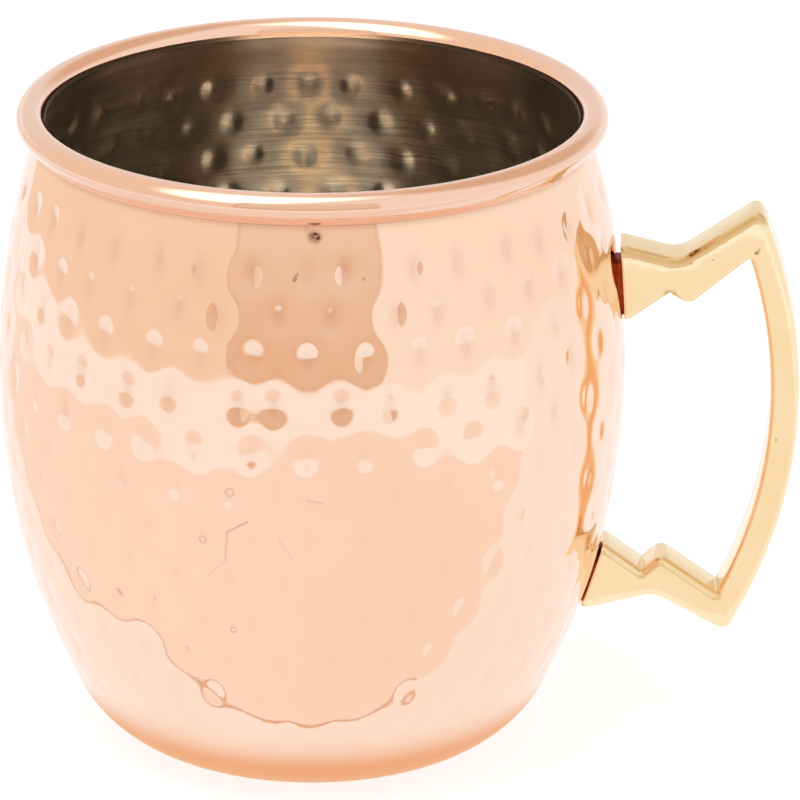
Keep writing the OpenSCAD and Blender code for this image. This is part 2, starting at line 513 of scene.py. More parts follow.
@dataclass(frozen=True)
class CopperFinish(Finish):
    """Polished copper with a faint film, a few tarnish specks, fine scratches and dried drops, darker in
    its dents, with painted shade in the crease under the rim.
    """

    name = "polished_copper"
    bright: Colour = (0.965, 0.70, 0.55)
    deep: Colour = (0.955, 0.675, 0.52)
    # Darker copper in the middles of the dents and over the outer roll
    dent_dark: Colour = (0.84, 0.56, 0.44)
    tarnish: Colour = (0.14, 0.03, 0.008)
    spot: Colour = (0.34, 0.17, 0.075)
    # Painted shade: dark copper in the crease under the rolled rim
    crease: Colour = (0.42, 0.15, 0.06)
    scratch: Colour = (0.62, 0.34, 0.22)
    film: Film = Film(28.0, 0.03, 0.055)
    pitting: Pitting = Pitting(260.0, 0.004, 0.04)
    brushing: Brushing = Brushing(5200.0, 3.0, 0.015)
    dent_dark_share: float = 0.65
    pit_share: float = 0.5
    wall_radius: float = 45.0
    specks: tuple[Mark, ...] = (
        Mark((2.65, 91.05), (2.9, 91.0), 0.36, 0.95),
        Mark((3.15, 91.0), (3.3, 90.85), 0.32, 0.75),
        Mark((3.1, 90.45), (3.35, 90.5), 0.38, 0.95),
        Mark((2.35, 90.75), (2.6, 90.5), 0.34, 0.8),
        Mark((2.05, 90.95), (2.3, 90.9), 0.34, 0.7),
        Mark((2.05, 90.4), (2.3, 90.45), 0.28, 0.6),
        Mark((2.6, 90.1), (3.05, 90.05), 0.28, 0.5),
        Mark((2.4, 90.7), (3.0, 90.6), 1.2, 0.45),
        Mark((1.75, 91.1), (1.4, 91.55), 0.6, 0.14),
    )
    spots: tuple[Mark, ...] = (
        Mark((-0.3, 84.8), (-0.15, 85.1), 0.42, 0.62),
        Mark((0.0, 85.45), (0.1, 85.55), 0.36, 0.45),
        Mark((9.85, 84.7), (9.95, 84.8), 0.32, 0.35),
        Mark((87.0, 61.0), (87.2, 61.3), 0.5, 0.5),
        Mark((-101.0, 80.4), (-100.8, 80.6), 0.5, 0.5),
    )
    scratches: tuple[Mark, ...] = (
        Mark((-6.7, 49.5), (-9.6, 47.6), 0.22, 0.55),
        Mark((-9.6, 47.6), (-10.05, 43.0), 0.22, 0.38),
        Mark((-10.05, 43.0), (-12.8, 40.3), 0.25, 0.16),
        Mark((1.65, 53.1), (3.85, 52.7), 0.22, 0.35),
        Mark((-2.35, 47.1), (-0.4, 43.8), 0.24, 0.16),
        Mark((-9.2, 53.7), (-9.2, 53.7), 0.2, 0.45, 0.6),
        Mark((-13.3, 45.9), (-13.3, 45.9), 0.18, 0.5, 0.5),
        Mark((-9.4, 31.7), (-9.4, 31.7), 0.18, 0.45, 0.42),
        Mark((52.0, 44.0), (55.5, 46.2), 0.22, 0.4),
        Mark((-70.0, 30.5), (-72.5, 36.0), 0.22, 0.4),
        Mark((118.0, 58.0), (121.0, 57.0), 0.22, 0.4),
    )

    def material(self, effects: EffectGroups) -> bpy.types.Material:
        """Build the material.

        Args:
            effects: The shared node groups.

        Returns:
            The new material.
        """
        material, w, shader = self.start()
        film = self.film.place(w, effects)
        colour = w.blend(film.outputs["Mask"], self.bright, self.deep)
        dent = w.math("MULTIPLY", w.attribute(DENT), self.dent_dark_share)
        colour = w.blend(dent, colour, self.dent_dark)
        place = self._unrolled(w)
        colour = w.blend(self.marked(w, effects, place, self.scratches), colour, self.scratch)
        colour = w.blend(self.marked(w, effects, place, self.spots), colour, self.spot)
        specks = self.marked(w, effects, place, self.specks)
        pitted = w.math("MULTIPLY", self.pitting.mask(w, effects), self.pit_share)
        colour = w.blend(w.math("MAXIMUM", specks, pitted), colour, self.tarnish)
        # Painted shade in the crease under the rim, by the share that the mesh carries
        w.feed(shader.inputs["Base Color"], w.blend(w.attribute(CREASE), colour, self.crease))
        w.feed(shader.inputs["Roughness"], film.outputs["Roughness"])
        lines = self.brushing.height(w, effects)
        w.bump(shader, lines, self.brushing.strength, LINE_DEPTH)
        return material

    def _unrolled(self, w: Wiring) -> bpy.types.NodeSocket:
        """Lay the wall flat: the distance round it from the front, and the height.

        Args:
            w: The material's wiring.

        Returns:
            The place on the flat wall, in metres.
        """
        x, y, z = w.parts(w.place())
        angle = w.math("ARCTAN2", x, w.math("MULTIPLY", y, -1.0))
        return w.joined(w.math("MULTIPLY", angle, self.wall_radius * MM), z)


@dataclass(frozen=True)
class LinerFinish(Finish):
    """Brushed steel of the liner, its lines running round the cup, heights in millimetres.

    Painted shade makes it far darker, and rougher, on the turned floor and along the top edge; a warm band
    under that edge is a painted reflection of the copper rim.
    """

    name = "brushed_liner_steel"
    bright: Colour = (0.45, 0.386, 0.296)
    dull: Colour = (0.242, 0.2, 0.149)
    # Painted shade: the cup's floor is far darker than the wall
    floor: Colour = (0.12, 0.095, 0.07)
    film: Film = Film(22.0, 0.20, 0.24)
    brushing: Brushing = Brushing(3300.0, 2.2, 0.03)
    streak_limits: tuple[float, float] = (0.35, 0.65)
    anisotropy: float = 1.0
    quarter_turn: float = 0.25
    floor_low: float = 2.625
    floor_top: float = 10.5
    floor_roughness: float = 0.55
    metallic: float = 0.97
    floor_metallic: float = 0.9
    # Painted reflection of the copper rim on the steel under the top edge
    warm: Colour = (0.41, 0.28, 0.205)
    warm_low: float = 80.0
    warm_high: float = 92.0
    # Painted shade along the top edge, where the steel meets the copper roll
    edge: Colour = (0.10, 0.06, 0.035)
    edge_low: float = 94.2
    edge_high: float = 95.0
    edge_roughness: float = 0.5

    def material(self, effects: EffectGroups) -> bpy.types.Material:
        """Build the material.

        Args:
            effects: The shared node groups.

        Returns:
            The new material.
        """
        material, w, shader = self.start()
        film = self.film.place(w, effects)
        lines = self.brushing.height(w, effects)
        streak = w.remap(lines, *self.streak_limits)
        height = w.parts(w.place())[2]
        # Painted shade over the floor and the foot of the wall
        low = w.remap(height, self.floor_low * MM, self.floor_top * MM, 1.0, 0.0)
        # Painted reflection of the copper rim, from 80 mm up
        copper_reflected = w.remap(height, self.warm_low * MM, self.warm_high * MM)
        wall = w.blend(streak, self.dull, w.blend(copper_reflected, self.bright, self.warm))
        wall = w.blend(low, wall, self.floor)
        # Painted shade along the top edge, under the roll
        top = w.remap(height, self.edge_low * MM, self.edge_high * MM)
        w.feed(shader.inputs["Base Color"], w.blend(top, wall, self.edge))
        metallic = w.remap(low, 0.0, 1.0, self.metallic, self.floor_metallic)
        w.feed(shader.inputs["Metallic"], metallic)
        rough = w.math("MAXIMUM", w.math("MULTIPLY", low, self.floor_roughness),
                       w.math("MULTIPLY", top, self.edge_roughness))
        w.feed(shader.inputs["Roughness"], w.math("MAXIMUM", rough, film.outputs["Roughness"]))
        w.bump(shader, lines, self.brushing.strength, LINE_DEPTH)
        shader.inputs["Anisotropic"].default_value = self.anisotropy
        shader.inputs["Anisotropic Rotation"].default_value = self.quarter_turn
        tangent = w.node("ShaderNodeTangent", direction_type="RADIAL", axis="Z")
        w.feed(shader.inputs["Tangent"], tangent.outputs[0])
        return material


@dataclass(frozen=True)
class BrassFinish(Finish):
    """Cast brass, buffed after filing, with a few casting pits left in it and a painted dark reflection
    along its upper edges.
    """

    name = "buffed_brass"
    bright: Colour = (0.955, 0.775, 0.50)
    deep: Colour = (0.94, 0.74, 0.45)
    pit: Colour = (0.45, 0.28, 0.08)
    # Painted reflection: dark gold along the upper edges
    edge_reflection: Colour = (0.56, 0.36, 0.10)
    film: Film = Film(60.0, 0.09, 0.14)
    pitting: Pitting = Pitting(420.0, 0.012, 0.07)
    edge_reflection_share: float = 0.75
    pit_share: float = 0.6
    ripple_scale: float = 190.0
    ripple_detail: float = 2.0
    ripple_bump: float = 0.03
    ripple_depth: float = 0.3 * MM
    pits: tuple[Mark, ...] = (
        Mark((64.8, 76.3), (64.95, 76.4), 0.4, 0.9),
        Mark((65.25, 76.85), (65.25, 76.85), 0.28, 0.7),
        Mark((58.6, 75.2), (58.6, 75.2), 0.25, 0.5),
        Mark((55.3, 74.6), (55.4, 74.5), 0.3, 0.5),
        Mark((68.4, 47.0), (68.5, 47.4), 0.22, 0.5),
    )

    def material(self, effects: EffectGroups) -> bpy.types.Material:
        """Build the material.

        Args:
            effects: The shared node groups.

        Returns:
            The new material.
        """
        material, w, shader = self.start()
        film = self.film.place(w, effects)
        colour = w.blend(film.outputs["Mask"], self.bright, self.deep)
        # Painted dark reflection along the upper edges, weaker on the lower arm
        strip = w.math("MULTIPLY", w.attribute(EDGE_REFLECTION), self.edge_reflection_share)
        colour = w.blend(strip, colour, self.edge_reflection)
        place = w.place()
        x, y, z = w.parts(place)
        front = w.math("LESS_THAN", y, 0.0)
        seen = w.math("MULTIPLY", front, self.marked(w, effects, w.joined(x, z), self.pits))
        pitted = w.math("MULTIPLY", self.pitting.mask(w, effects), self.pit_share)
        seen = w.math("MAXIMUM", seen, pitted)
        w.feed(shader.inputs["Base Color"], w.blend(seen, colour, self.pit))
        w.feed(shader.inputs["Roughness"], film.outputs["Roughness"])
        ripple = w.node("ShaderNodeTexNoise", {"Vector": place, "Scale": self.ripple_scale,
                                               "Detail": self.ripple_detail})
        w.bump(shader, ripple.outputs[0], self.ripple_bump, self.ripple_depth)
        return material


@dataclass(frozen=True)
class PlainSteelFinish(Finish):
    """Drawn steel of the rim's wire and the studs."""

    name = "drawn_steel"
    bright: Colour = (0.62, 0.61, 0.59)
    dull: Colour = (0.48, 0.46, 0.44)
    film: Film = Film(180.0, 0.26, 0.4)

    def material(self, effects: EffectGroups) -> bpy.types.Material:
        """Build the material.

        Args:
            effects: The shared node groups.

        Returns:
            The new material.
        """
        material, w, shader = self.start()
        film = self.film.place(w, effects)
        w.feed(shader.inputs["Base Color"], w.blend(film.outputs["Mask"], self.bright, self.dull))
        w.feed(shader.inputs["Roughness"], film.outputs["Roughness"])
        return material


@dataclass(frozen=True)
class FillerFinish(Finish):
    """Brazing filler of the seams, darkened by heat."""

    name = "heat_darkened_filler"
    bright: Colour = (0.34, 0.055, 0.018)
    dark: Colour = (0.20, 0.024, 0.008)
    film: Film = Film(400.0, 0.35, 0.55)
    pitting: Pitting = Pitting(1500.0, 0.2, 0.25)

    def material(self, effects: EffectGroups) -> bpy.types.Material:
        """Build the material.

        Args:
            effects: The shared node groups.

        Returns:
            The new material.
        """
        material, w, shader = self.start()
        film = self.film.place(w, effects)
        pits = self.pitting.mask(w, effects)
        colour = w.blend(film.outputs["Mask"], self.bright, self.dark)
        w.feed(shader.inputs["Base Color"], w.blend(pits, colour, self.dark))
        w.feed(shader.inputs["Roughness"], film.outputs["Roughness"])
        return material


@dataclass(frozen=True)
class ProfilePoint:
    """A place on the cup's half profile, in millimetres, with its outward direction."""

    r: float
    z: float
    out_r: float
    out_z: float


@dataclass(frozen=True)
class CupProfile:
    """Sizes of the cup's half profile, in millimetres and degrees, as in the part's source."""

    height: float = 97.0
    belly_d: float = 92.0
    belly_z: float = 55.5
    shoulder_arc_r: float = 126.0
    flank_arc_r: float = 106.0
    corner_r: float = 17.0
    base_edge_angle: float = 15.0
    copper_t: float = 0.9
    steel_t: float = 0.4
    roll_d: float = 4.2
    roll_sweep: float = 294.0

    @property
    def shoulder_x(self) -> float:
        """Centre of the arc above the belly, level with it."""
        return self.belly_d / 2 - self.shoulder_arc_r

    @property
    def flank_x(self) -> float:
        """Centre of the arc below the belly, level with it."""
        return self.belly_d / 2 - self.flank_arc_r

    @property
    def corner(self) -> tuple[float, float]:
        """Centre of the round base corner.

        Returns:
            Its distance from the axis and its height.
        """
        z = self.corner_r * math.cos(math.radians(self.base_edge_angle))
        reach = self.flank_arc_r - self.corner_r
        return self.flank_x + math.sqrt(reach ** 2 - (self.belly_z - z) ** 2), z

    @property
    def corner_angle(self) -> float:
        """Angle below level at which the base corner meets the flank, in radians."""
        x, z = self.corner
        return math.atan2(self.belly_z - z, x - self.flank_x)

    @property
    def roll(self) -> tuple[float, float]:
        """Centre of the rolled rim.

        Returns:
            Its distance from the axis and its height.
        """
        z = self.height - self.roll_d / 2
        reach = self.shoulder_arc_r - self.copper_t + self.roll_d / 2
        return self.shoulder_x + math.sqrt(reach ** 2 - (z - self.belly_z) ** 2), z

    @property
    def roll_angle(self) -> float:
        """Angle on the shoulder's arc at which the roll starts, in radians."""
        x, z = self.roll
        return math.atan2(z - self.belly_z, x - self.shoulder_x)

    def wall(self, inset: float, end: float, spacing: float, corner_spacing: float
             ) -> list[ProfilePoint]:
        """Points of the wall from the base's edge up.

        Args:
            inset: Depth under the cup's outside.
            end: Angle on the shoulder's arc at which the points stop, in radians.
            spacing: Distance between points on the two large arcs.
            corner_spacing: Distance between points on the base corner.

        Returns:
            The points in order.
        """
        corner_x, corner_z = self.corner
        floor_angle = -math.asin((corner_z - inset) / (self.corner_r - inset))
        turn = -self.corner_angle
        arcs = (
            (corner_x, corner_z, self.corner_r - inset, floor_angle, turn, corner_spacing),
            (self.flank_x, self.belly_z, self.flank_arc_r - inset, turn, 0.0, spacing),
            (self.shoulder_x, self.belly_z, self.shoulder_arc_r - inset, 0.0, end, spacing),
        )
        points: list[ProfilePoint] = []
        for x, z, radius, start, stop, step in arcs:
            points += arc_points(x, z, radius, start, stop, step)[1 if points else 0:]
        return points


def arc_points(x: float, z: float, radius: float, start: float, stop: float, spacing: float
               ) -> list[ProfilePoint]:
    """Points of an arc in the half profile.

    Args:
        x: Centre's distance from the axis.
        z: Centre's height.
        radius: Radius of the arc.
        start: First angle, in radians.
        stop: Last angle, in radians.
        spacing: Largest distance between points.

    Returns:
        The points in order, each with the arc's outward direction.
    """
    count = max(1, math.ceil(abs(stop - start) * radius / spacing))
    angles = (start + (stop - start) * i / count for i in range(count + 1))
    return [ProfilePoint(x + radius * math.cos(a), z + radius * math.sin(a), math.cos(a), math.sin(a))
            for a in angles]


@dataclass(frozen=True)
class Blow:
    """One hammer blow: angle in radians, height in millimetres, its dent's size and depth as shares."""

    angle: float
    z: float
    size: float
    depth: float


@dataclass(frozen=True)
class HammerWork:
    """Rings of hammer blows, every second ring set half a step on, and the wall's slow waver.

    Lengths are in millimetres and angles in degrees. An odd blow is given by its ring, its number in the
    ring and its depth as a share, and a blow with a place at the front by its ring, number and angle.
    """

    ring_heights: tuple[float, ...] = (
        85.3, 79.3, 73.3, 66.8, 59.8, 53.4, 46.8, 40.0, 33.2, 26.4, 19.8, 13.6)
    blows_round: int = 36
    first_angle: float = 2.3
    core_width: float = 1.9
    core_height: float = 2.9
    core_depth: float = 0.155
    soft_radius: float = 4.0
    soft_depth: float = 0.115
    angle_scatter: float = 0.9
    height_scatter: float = 0.35
    depth_scatter: float = 0.2
    size_scatter: float = 0.12
    swell: float = 0.1
    ring_strength: tuple[float, ...] = (
        1.3, 0.92, 0.85, 1.0, 0.95, 0.85, 0.8, 0.8, 0.8, 0.8, 0.75, 0.5)
    odd_blows: tuple[tuple[int, int, float], ...] = ((0, 0, 0.5), (0, 1, 1.12), (2, 1, 1.3))
    spared_angle: float = 90.0
    spared_half: float = 6.0
    spared_heights: tuple[tuple[float, float], ...] = ((20.0, 35.0), (64.0, 82.0))
    front_places: tuple[tuple[int, int, float], ...] = (
        (0, 34, -18.8), (0, 35, -8.5), (0, 1, 9.2),
        (1, 34, -14.4), (1, 35, -3.3), (1, 0, 6.4), (1, 1, 18.3),
        (2, 34, -17.7), (2, 35, -7.7), (2, 0, 2.2), (2, 1, 12.6),
        (3, 34, -10.2), (3, 35, -3.9), (3, 0, 8.2),
        (4, 35, -7.7), (4, 0, 2.0), (4, 1, 12.4), (4, 2, 23.0))
    back_turn: float = 2.0
    back_lift: float = 1.2
    # Size of each dent's darker middle, and how much less the dents low on the wall are darkened
    dark_width: float = 0.9
    dark_height: float = 2.0
    dark_low: float = 0.3
    dark_turn_z: float = 60.0
    waver_count: int = 9
    waver_height: float = 0.02
    waver_waves: tuple[int, int] = (4, 13)
    waver_pitch: tuple[float, float] = (24.0, 60.0)
    fade_start: float = 6.0
    fade_in: float = 10.0
    fade_stop: float = 93.0
    fade_out: float = 8.0
    seed: int = 11

    def blows(self) -> list[Blow]:
        """Scatter the blows about their even places, the same way each run.

        Returns:
            The blows, ring by ring.
        """
        draw = random.Random(self.seed)
        step = FULL_TURN / self.blows_round
        placed = {(ring, number): angle for ring, number, angle in self.front_places}
        odd = {(ring, number): share for ring, number, share in self.odd_blows}
        made = []
        for ring, height in enumerate(self.ring_heights):
            for number in range(self.blows_round):
                angle = self.first_angle + step * (number + 0.5 * (ring % 2))
                angle += draw.uniform(-self.angle_scatter, self.angle_scatter)
                z = height + draw.uniform(-self.height_scatter, self.height_scatter)
                size = 1 + draw.uniform(-self.size_scatter, self.size_scatter)
                depth = 1 + draw.uniform(-self.depth_scatter, self.depth_scatter)
                depth *= self.ring_strength[ring]
                depth *= odd.get((ring, number), 1.0)
                angle = placed.get((ring, number), angle)
                if self._spared(angle, z):
                    continue
                behind = (1 - math.cos(math.radians(angle))) / 2
                angle += self.back_turn * behind
                z += self.back_lift * behind
                made.append(Blow(math.radians(angle), z, size, depth))
        return made

    def _spared(self, angle: float, z: float) -> bool:
        """Tell whether a place lies under one of the handle's feet, where no blow is struck."""
        beside = abs(angle - self.spared_angle) < self.spared_half
        return beside and any(low < z < high for low, high in self.spared_heights)

    def dents(self, wall: list[ProfilePoint], angles: np.ndarray) -> tuple[np.ndarray, np.ndarray]:
        """The hammered surface under the plain wall.

        Args:
            wall: The wall's rows.
            angles: Angles round the cup from the front towards the handle, in radians.

        Returns:
            Depths in millimetres and how much darker the copper is in each dent, from 0 to 1, one row per
            wall row.
        """
        r = np.array([p.r for p in wall])
        z = np.array([p.z for p in wall])
        length = np.concatenate([[0.0], np.cumsum(np.hypot(np.diff(r), np.diff(z)))])
        total = np.zeros((len(wall), len(angles)))
        dent_dark = np.zeros((len(wall), len(angles)))
        for blow in self.blows():
            middle = np.interp(blow.z, z, length)
            rows = np.nonzero(np.abs(length - middle) < self.soft_radius)[0]
            turn = (angles - blow.angle + math.pi) % (2 * math.pi) - math.pi
            columns = np.nonzero(np.abs(turn) * r[rows].min() < self.soft_radius)[0]
            across = turn[columns][None, :] * r[rows][:, None]
            along = (length[rows] - middle)[:, None]
            reach = np.hypot(across / self.core_width, along / self.core_height) / blow.size
            core = np.clip(1 - reach ** 2, 0, None) ** 2
            soft = np.clip(1 - (across ** 2 + along ** 2) / self.soft_radius ** 2, 0, None) ** 2
            spot = np.ix_(rows, columns)
            total[spot] += blow.depth * (self.core_depth * core + self.soft_depth * soft)
            # Darken the dent's middle, fully high on the wall and weakly lower down
            spread = (across / self.dark_width) ** 2 + (along / self.dark_height) ** 2
            share = 1.0 if blow.z > self.dark_turn_z else self.dark_low
            dent_dark[spot] += share * blow.depth * np.exp(-spread)
        return total + self.waver(z, angles), np.clip(dent_dark, 0, 1)

    def waver(self, z: np.ndarray, angles: np.ndarray) -> np.ndarray:
        """Slow unevenness and swell of the wall, fading out at the rim and the base.

        Args:
            z: Heights of the wall's rows, in millimetres.
            angles: Angles round the cup, in radians.

        Returns:
            Depths in millimetres, one row per height.
        """
        draw = random.Random(self.seed + 1)
        total = np.zeros((len(z), len(angles)))
        for _ in range(self.waver_count):
            waves = draw.randint(*self.waver_waves)
            pitch = draw.uniform(*self.waver_pitch) * draw.choice((-1, 1))
            phase = draw.uniform(0.0, 2 * math.pi)
            total += np.cos(waves * angles[None, :] + (2 * math.pi / pitch) * z[:, None] + phase)
        fade = np.clip((z - self.fade_start) / self.fade_in, 0, 1)
        fade *= np.clip((self.fade_stop - z) / self.fade_out, 0, 1)
        return (self.waver_height * total - self.swell) * fade[:, None]


class RingMesh:
    """Closed skin made of rings round the Z axis, each joined to the one before it."""

    def __init__(self, gather: float) -> None:
        """Start with no ring.

        Args:
            gather: Share by which the points crowd towards the front, or below zero towards the back.
        """
        self.gather = gather
        self.points: list[np.ndarray] = []
        self.values: dict[str, list[np.ndarray]] = {DENT: [], CREASE: []}
        self.faces: list[Face] = []
        self.total = 0
        self.last: tuple[int, int] | None = None

    def angles(self, count: int) -> np.ndarray:
        """Angles of a ring's points, from the front towards the handle, in radians."""
        even = np.arange(count) * (2 * math.pi / count)
        return even - self.gather * np.sin(even)

    def add(self, r: object, z: object, count: int, dent: object = 0.0, crease: object = 0.0) -> None:
        """Add a ring and join it to the last one.

        Args:
            r: Distance from the axis in millimetres, one number or one per point.
            z: Height in millimetres, one number or one per point.
            count: Number of points.
            dent: How much darker each point's copper is, one number or one per point.
            crease: How much painted shade of the crease under the rim each point takes, one number or one
                per point.
        """
        start, angles = self.total, self.angles(count)
        r, z = np.broadcast_to(r, count), np.broadcast_to(z, count)
        self.points.append(np.stack([r * np.sin(angles), -r * np.cos(angles), z], axis=1) * MM)
        for name, value in ((DENT, dent), (CREASE, crease)):
            self.values[name].append(np.broadcast_to(value, count))
        self.total += count
        if self.last is not None:
            self._join(*self.last, start, count)
        self.last = (start, count)

    def _join(self, a: int, a_count: int, b: int, b_count: int) -> None:
        """Join two rings, where one may have several times as many points as the other.

        Args:
            a: Number of the first ring's first point.
            a_count: Number of points in the first ring.
            b: Number of the second ring's first point.
            b_count: Number of points in the second ring.
        """
        if a_count == b_count:
            for i in range(a_count):
                j = (i + 1) % a_count
                self.faces.append((a + i, a + j, b + j, b + i))
            return
        if a_count < b_count:
            self._join(b, b_count, a, a_count)
            return
        each = a_count // b_count
        for j in range(b_count):
            near, far = b + j, b + (j + 1) % b_count
            fine = [a + (j * each + k) % a_count for k in range(each + 1)]
            turn = max(1, each // 2)
            for k in range(turn):
                self.faces.append((fine[k], fine[k + 1], near))
            if b_count > 1:
                self.faces.append((fine[turn], far, near))
            for k in range(turn, each):
                self.faces.append((fine[k], fine[k + 1], far))

    def build(self, name: str, sharp: float) -> bpy.types.Object:
        """Make the object.

        Args:
            name: The object's name.
            sharp: Angle in degrees above which an edge is shown sharp.

        Returns:
            The new object, in the scene.
        """
        made = mesh_object(name, np.concatenate(self.points), self.faces, sharp)
        for key, values in self.values.items():
            carry(made, key, np.concatenate(values))
        return made


def carry(piece: bpy.types.Object, name: str, values: np.ndarray) -> None:
    """Let a mesh carry one value for each point, for its finish to read."""
    piece.data.attributes.new(name, "FLOAT", "POINT").data.foreach_set("value", values)


def mesh_object(name: str, points: np.ndarray, faces: list[Face], sharp: float) -> bpy.types.Object:
    """Make a smooth-shaded mesh object whose faces all look outwards.

    Args:
        name: The object's name.
        points: Its points, in metres.
        faces: Its faces.
        sharp: Angle in degrees above which an edge is shown sharp.

    Returns:
        The new object, in the scene.
    """
    mesh = bpy.data.meshes.new(name)
    mesh.from_pydata(points.tolist(), [], faces)
    skin = bmesh.new()
    skin.from_mesh(mesh)
    bmesh.ops.recalc_face_normals(skin, faces=skin.faces)
    skin.to_mesh(mesh)
    skin.free()
    mesh.shade_smooth()
    mesh.set_sharp_from_angle(angle=math.radians(sharp))
    made = bpy.data.objects.new(name, mesh)
    bpy.context.scene.collection.objects.link(made)
    return made


def set_material(piece: bpy.types.Object, material: bpy.types.Material) -> None:
    """Give an object one material."""
    piece.data.materials.clear()
    piece.data.materials.append(material)


def dress(piece: bpy.types.Object, material: bpy.types.Material, node: str) -> None:
    """Put a new piece in the place of its CAD node.

    Args:
        piece: The piece.
        material: Its finish.
        node: The node that it stands for.
    """
    set_material(piece, material)
    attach(piece, ROOT)
    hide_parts(node)


@dataclass
class CopperShell:
    """The hammered copper sheet, up from the base, round the rim's wire and down inside.

    Lengths are in millimetres and angles in degrees.
    """

    profile: CupProfile
    hammer: HammerWork
    fine_count: int = 576
    roll_count: int = 288
    coarse_count: int = 144
    gather: float = 0.25
    row_spacing: float = 0.68
    corner_spacing: float = 1.1
    roll_spacing: float = 0.45
    roll_droop: float = 1.28
    roll_flatness: float = 1.6
    droop_start: float = 0.5
    # How much darker the outer roll is, as a share of the dents' darker colour
    roll_dark: float = 0.9
    # Painted shade that deepens up the wall into the crease under the roll, and on the roll's underside
    crease_height: float = 1.8
    crease_start: float = 0.8
    crease_power: int = 3
    crease_under: float = 0.95
    base_shares: tuple[float, ...] = (0.45, 0.85)
    base_edge_share: float = 0.97
    inner_spacing: float = 3.2
    lip: float = 1.2
    sharp: float = 60.0

    def build(self, material: bpy.types.Material) -> bpy.types.Object:
        """Build the sheet and dress it.

        Args:
            material: The copper finish.

        Returns:
            The finished piece.
        """
        skin = RingMesh(self.gather)
        self._base(skin)
        self._wall(skin)
        self._roll(skin)
        self._inside(skin)
        piece = skin.build("hammered_copper_shell", self.sharp)
        dress(piece, material, "copper_shell")
        return piece

    def _base(self, skin: RingMesh) -> None:
        """Add the flat underside, from the axis to near its edge.

        Args:
            skin: The skin that the rings go into.
        """
        edge = self.profile.wall(0.0, 0.0, self.inner_spacing, self.inner_spacing)[0].r
        skin.add(0.0, 0.0, 1)
        for share in self.base_shares:
            skin.add(edge * share, 0.0, self.coarse_count)
        skin.add(edge * self.base_edge_share, 0.0, self.fine_count)

    def _wall(self, skin: RingMesh) -> None:
        """Add the hammered outside, up to the start of the roll.

        Args:
            skin: The skin that the rings go into.
        """
        end = self.profile.roll_angle
        rows = self.profile.wall(0.0, end, self.row_spacing, self.corner_spacing)
        depth, dent_dark = self.hammer.dents(rows, skin.angles(self.fine_count))
        roll_bottom = self.profile.roll[1] - self.roll_droop * self.profile.roll_d / 2
        for p, d, s in zip(rows, depth, dent_dark):
            # Painted shade: the wall darkens upwards into the crease under the roll
            crease = (p.z - roll_bottom) / self.crease_height + self.crease_start
            crease = min(max(crease, 0.0), 1.0)
            crease **= self.crease_power
            skin.add(p.r - p.out_r * d, p.z - p.out_z * d, self.fine_count, s, crease)

    def _roll(self, skin: RingMesh) -> None:
        """Add the turn round the wire: its inner side out to the cut edge, and its outer side back.

        Args:
            skin: The skin that the rings go into.
        """
        x, z = self.profile.roll
        start = self.profile.roll_angle + math.pi
        stop = start - math.radians(self.profile.roll_sweep)
        outer = self.profile.roll_d / 2
        inner = outer - self.profile.copper_t
        # The roll's inner side takes full painted shade
        for p in arc_points(x, z, inner, start, stop, self.roll_spacing)[1:]:
            skin.add(*self._drooped(p, inner), self.coarse_count, 0.0, 1.0)
        # The outer roll is darker as a whole, like the dents' middles
        for p in arc_points(x, z, outer, stop, start, self.roll_spacing):
            # Painted shade on the lowest part of the roll's underside
            crease = (-p.out_z - self.crease_under) / (1 - self.crease_under)
            crease = min(max(crease, 0.0), 1.0)
            skin.add(*self._drooped(p, outer), self.roll_count, self.roll_dark, crease)

    def _drooped(self, p: ProfilePoint, radius: float) -> tuple[float, float]:
        """Place of a point of the roll, whose lower half hangs longer and flatter than a circle's.

        Args:
            p: The point on the circle.
            radius: The circle's radius.

        Returns:
            Its distance from the axis and its height.
        """
        if p.out_z >= 0 or p.r < self.profile.roll[0] - self.droop_start * radius:
            return p.r, p.z
        x, z = self.profile.roll
        across = math.copysign(abs(p.out_r) ** self.roll_flatness, p.out_r)
        down = self.roll_droop * abs(p.out_z) ** self.roll_flatness
        return x + radius * across, z - radius * down

    def _inside(self, skin: RingMesh) -> None:
        """Add the sheet's inner face, which the liner covers below the lip.

        Args:
            skin: The skin that the rings go into.
        """
        inset = self.profile.copper_t
        lip_end = self.profile.roll_angle - self.lip / self.profile.shoulder_arc_r
        rows = self.profile.wall(inset, lip_end, self.inner_spacing, self.inner_spacing)
        skin.add(rows[-1].r, rows[-1].z, self.roll_count)
        for p in reversed(rows[:-1]):
            skin.add(p.r, p.z, self.coarse_count)
        skin.add(0.0, inset, 1)


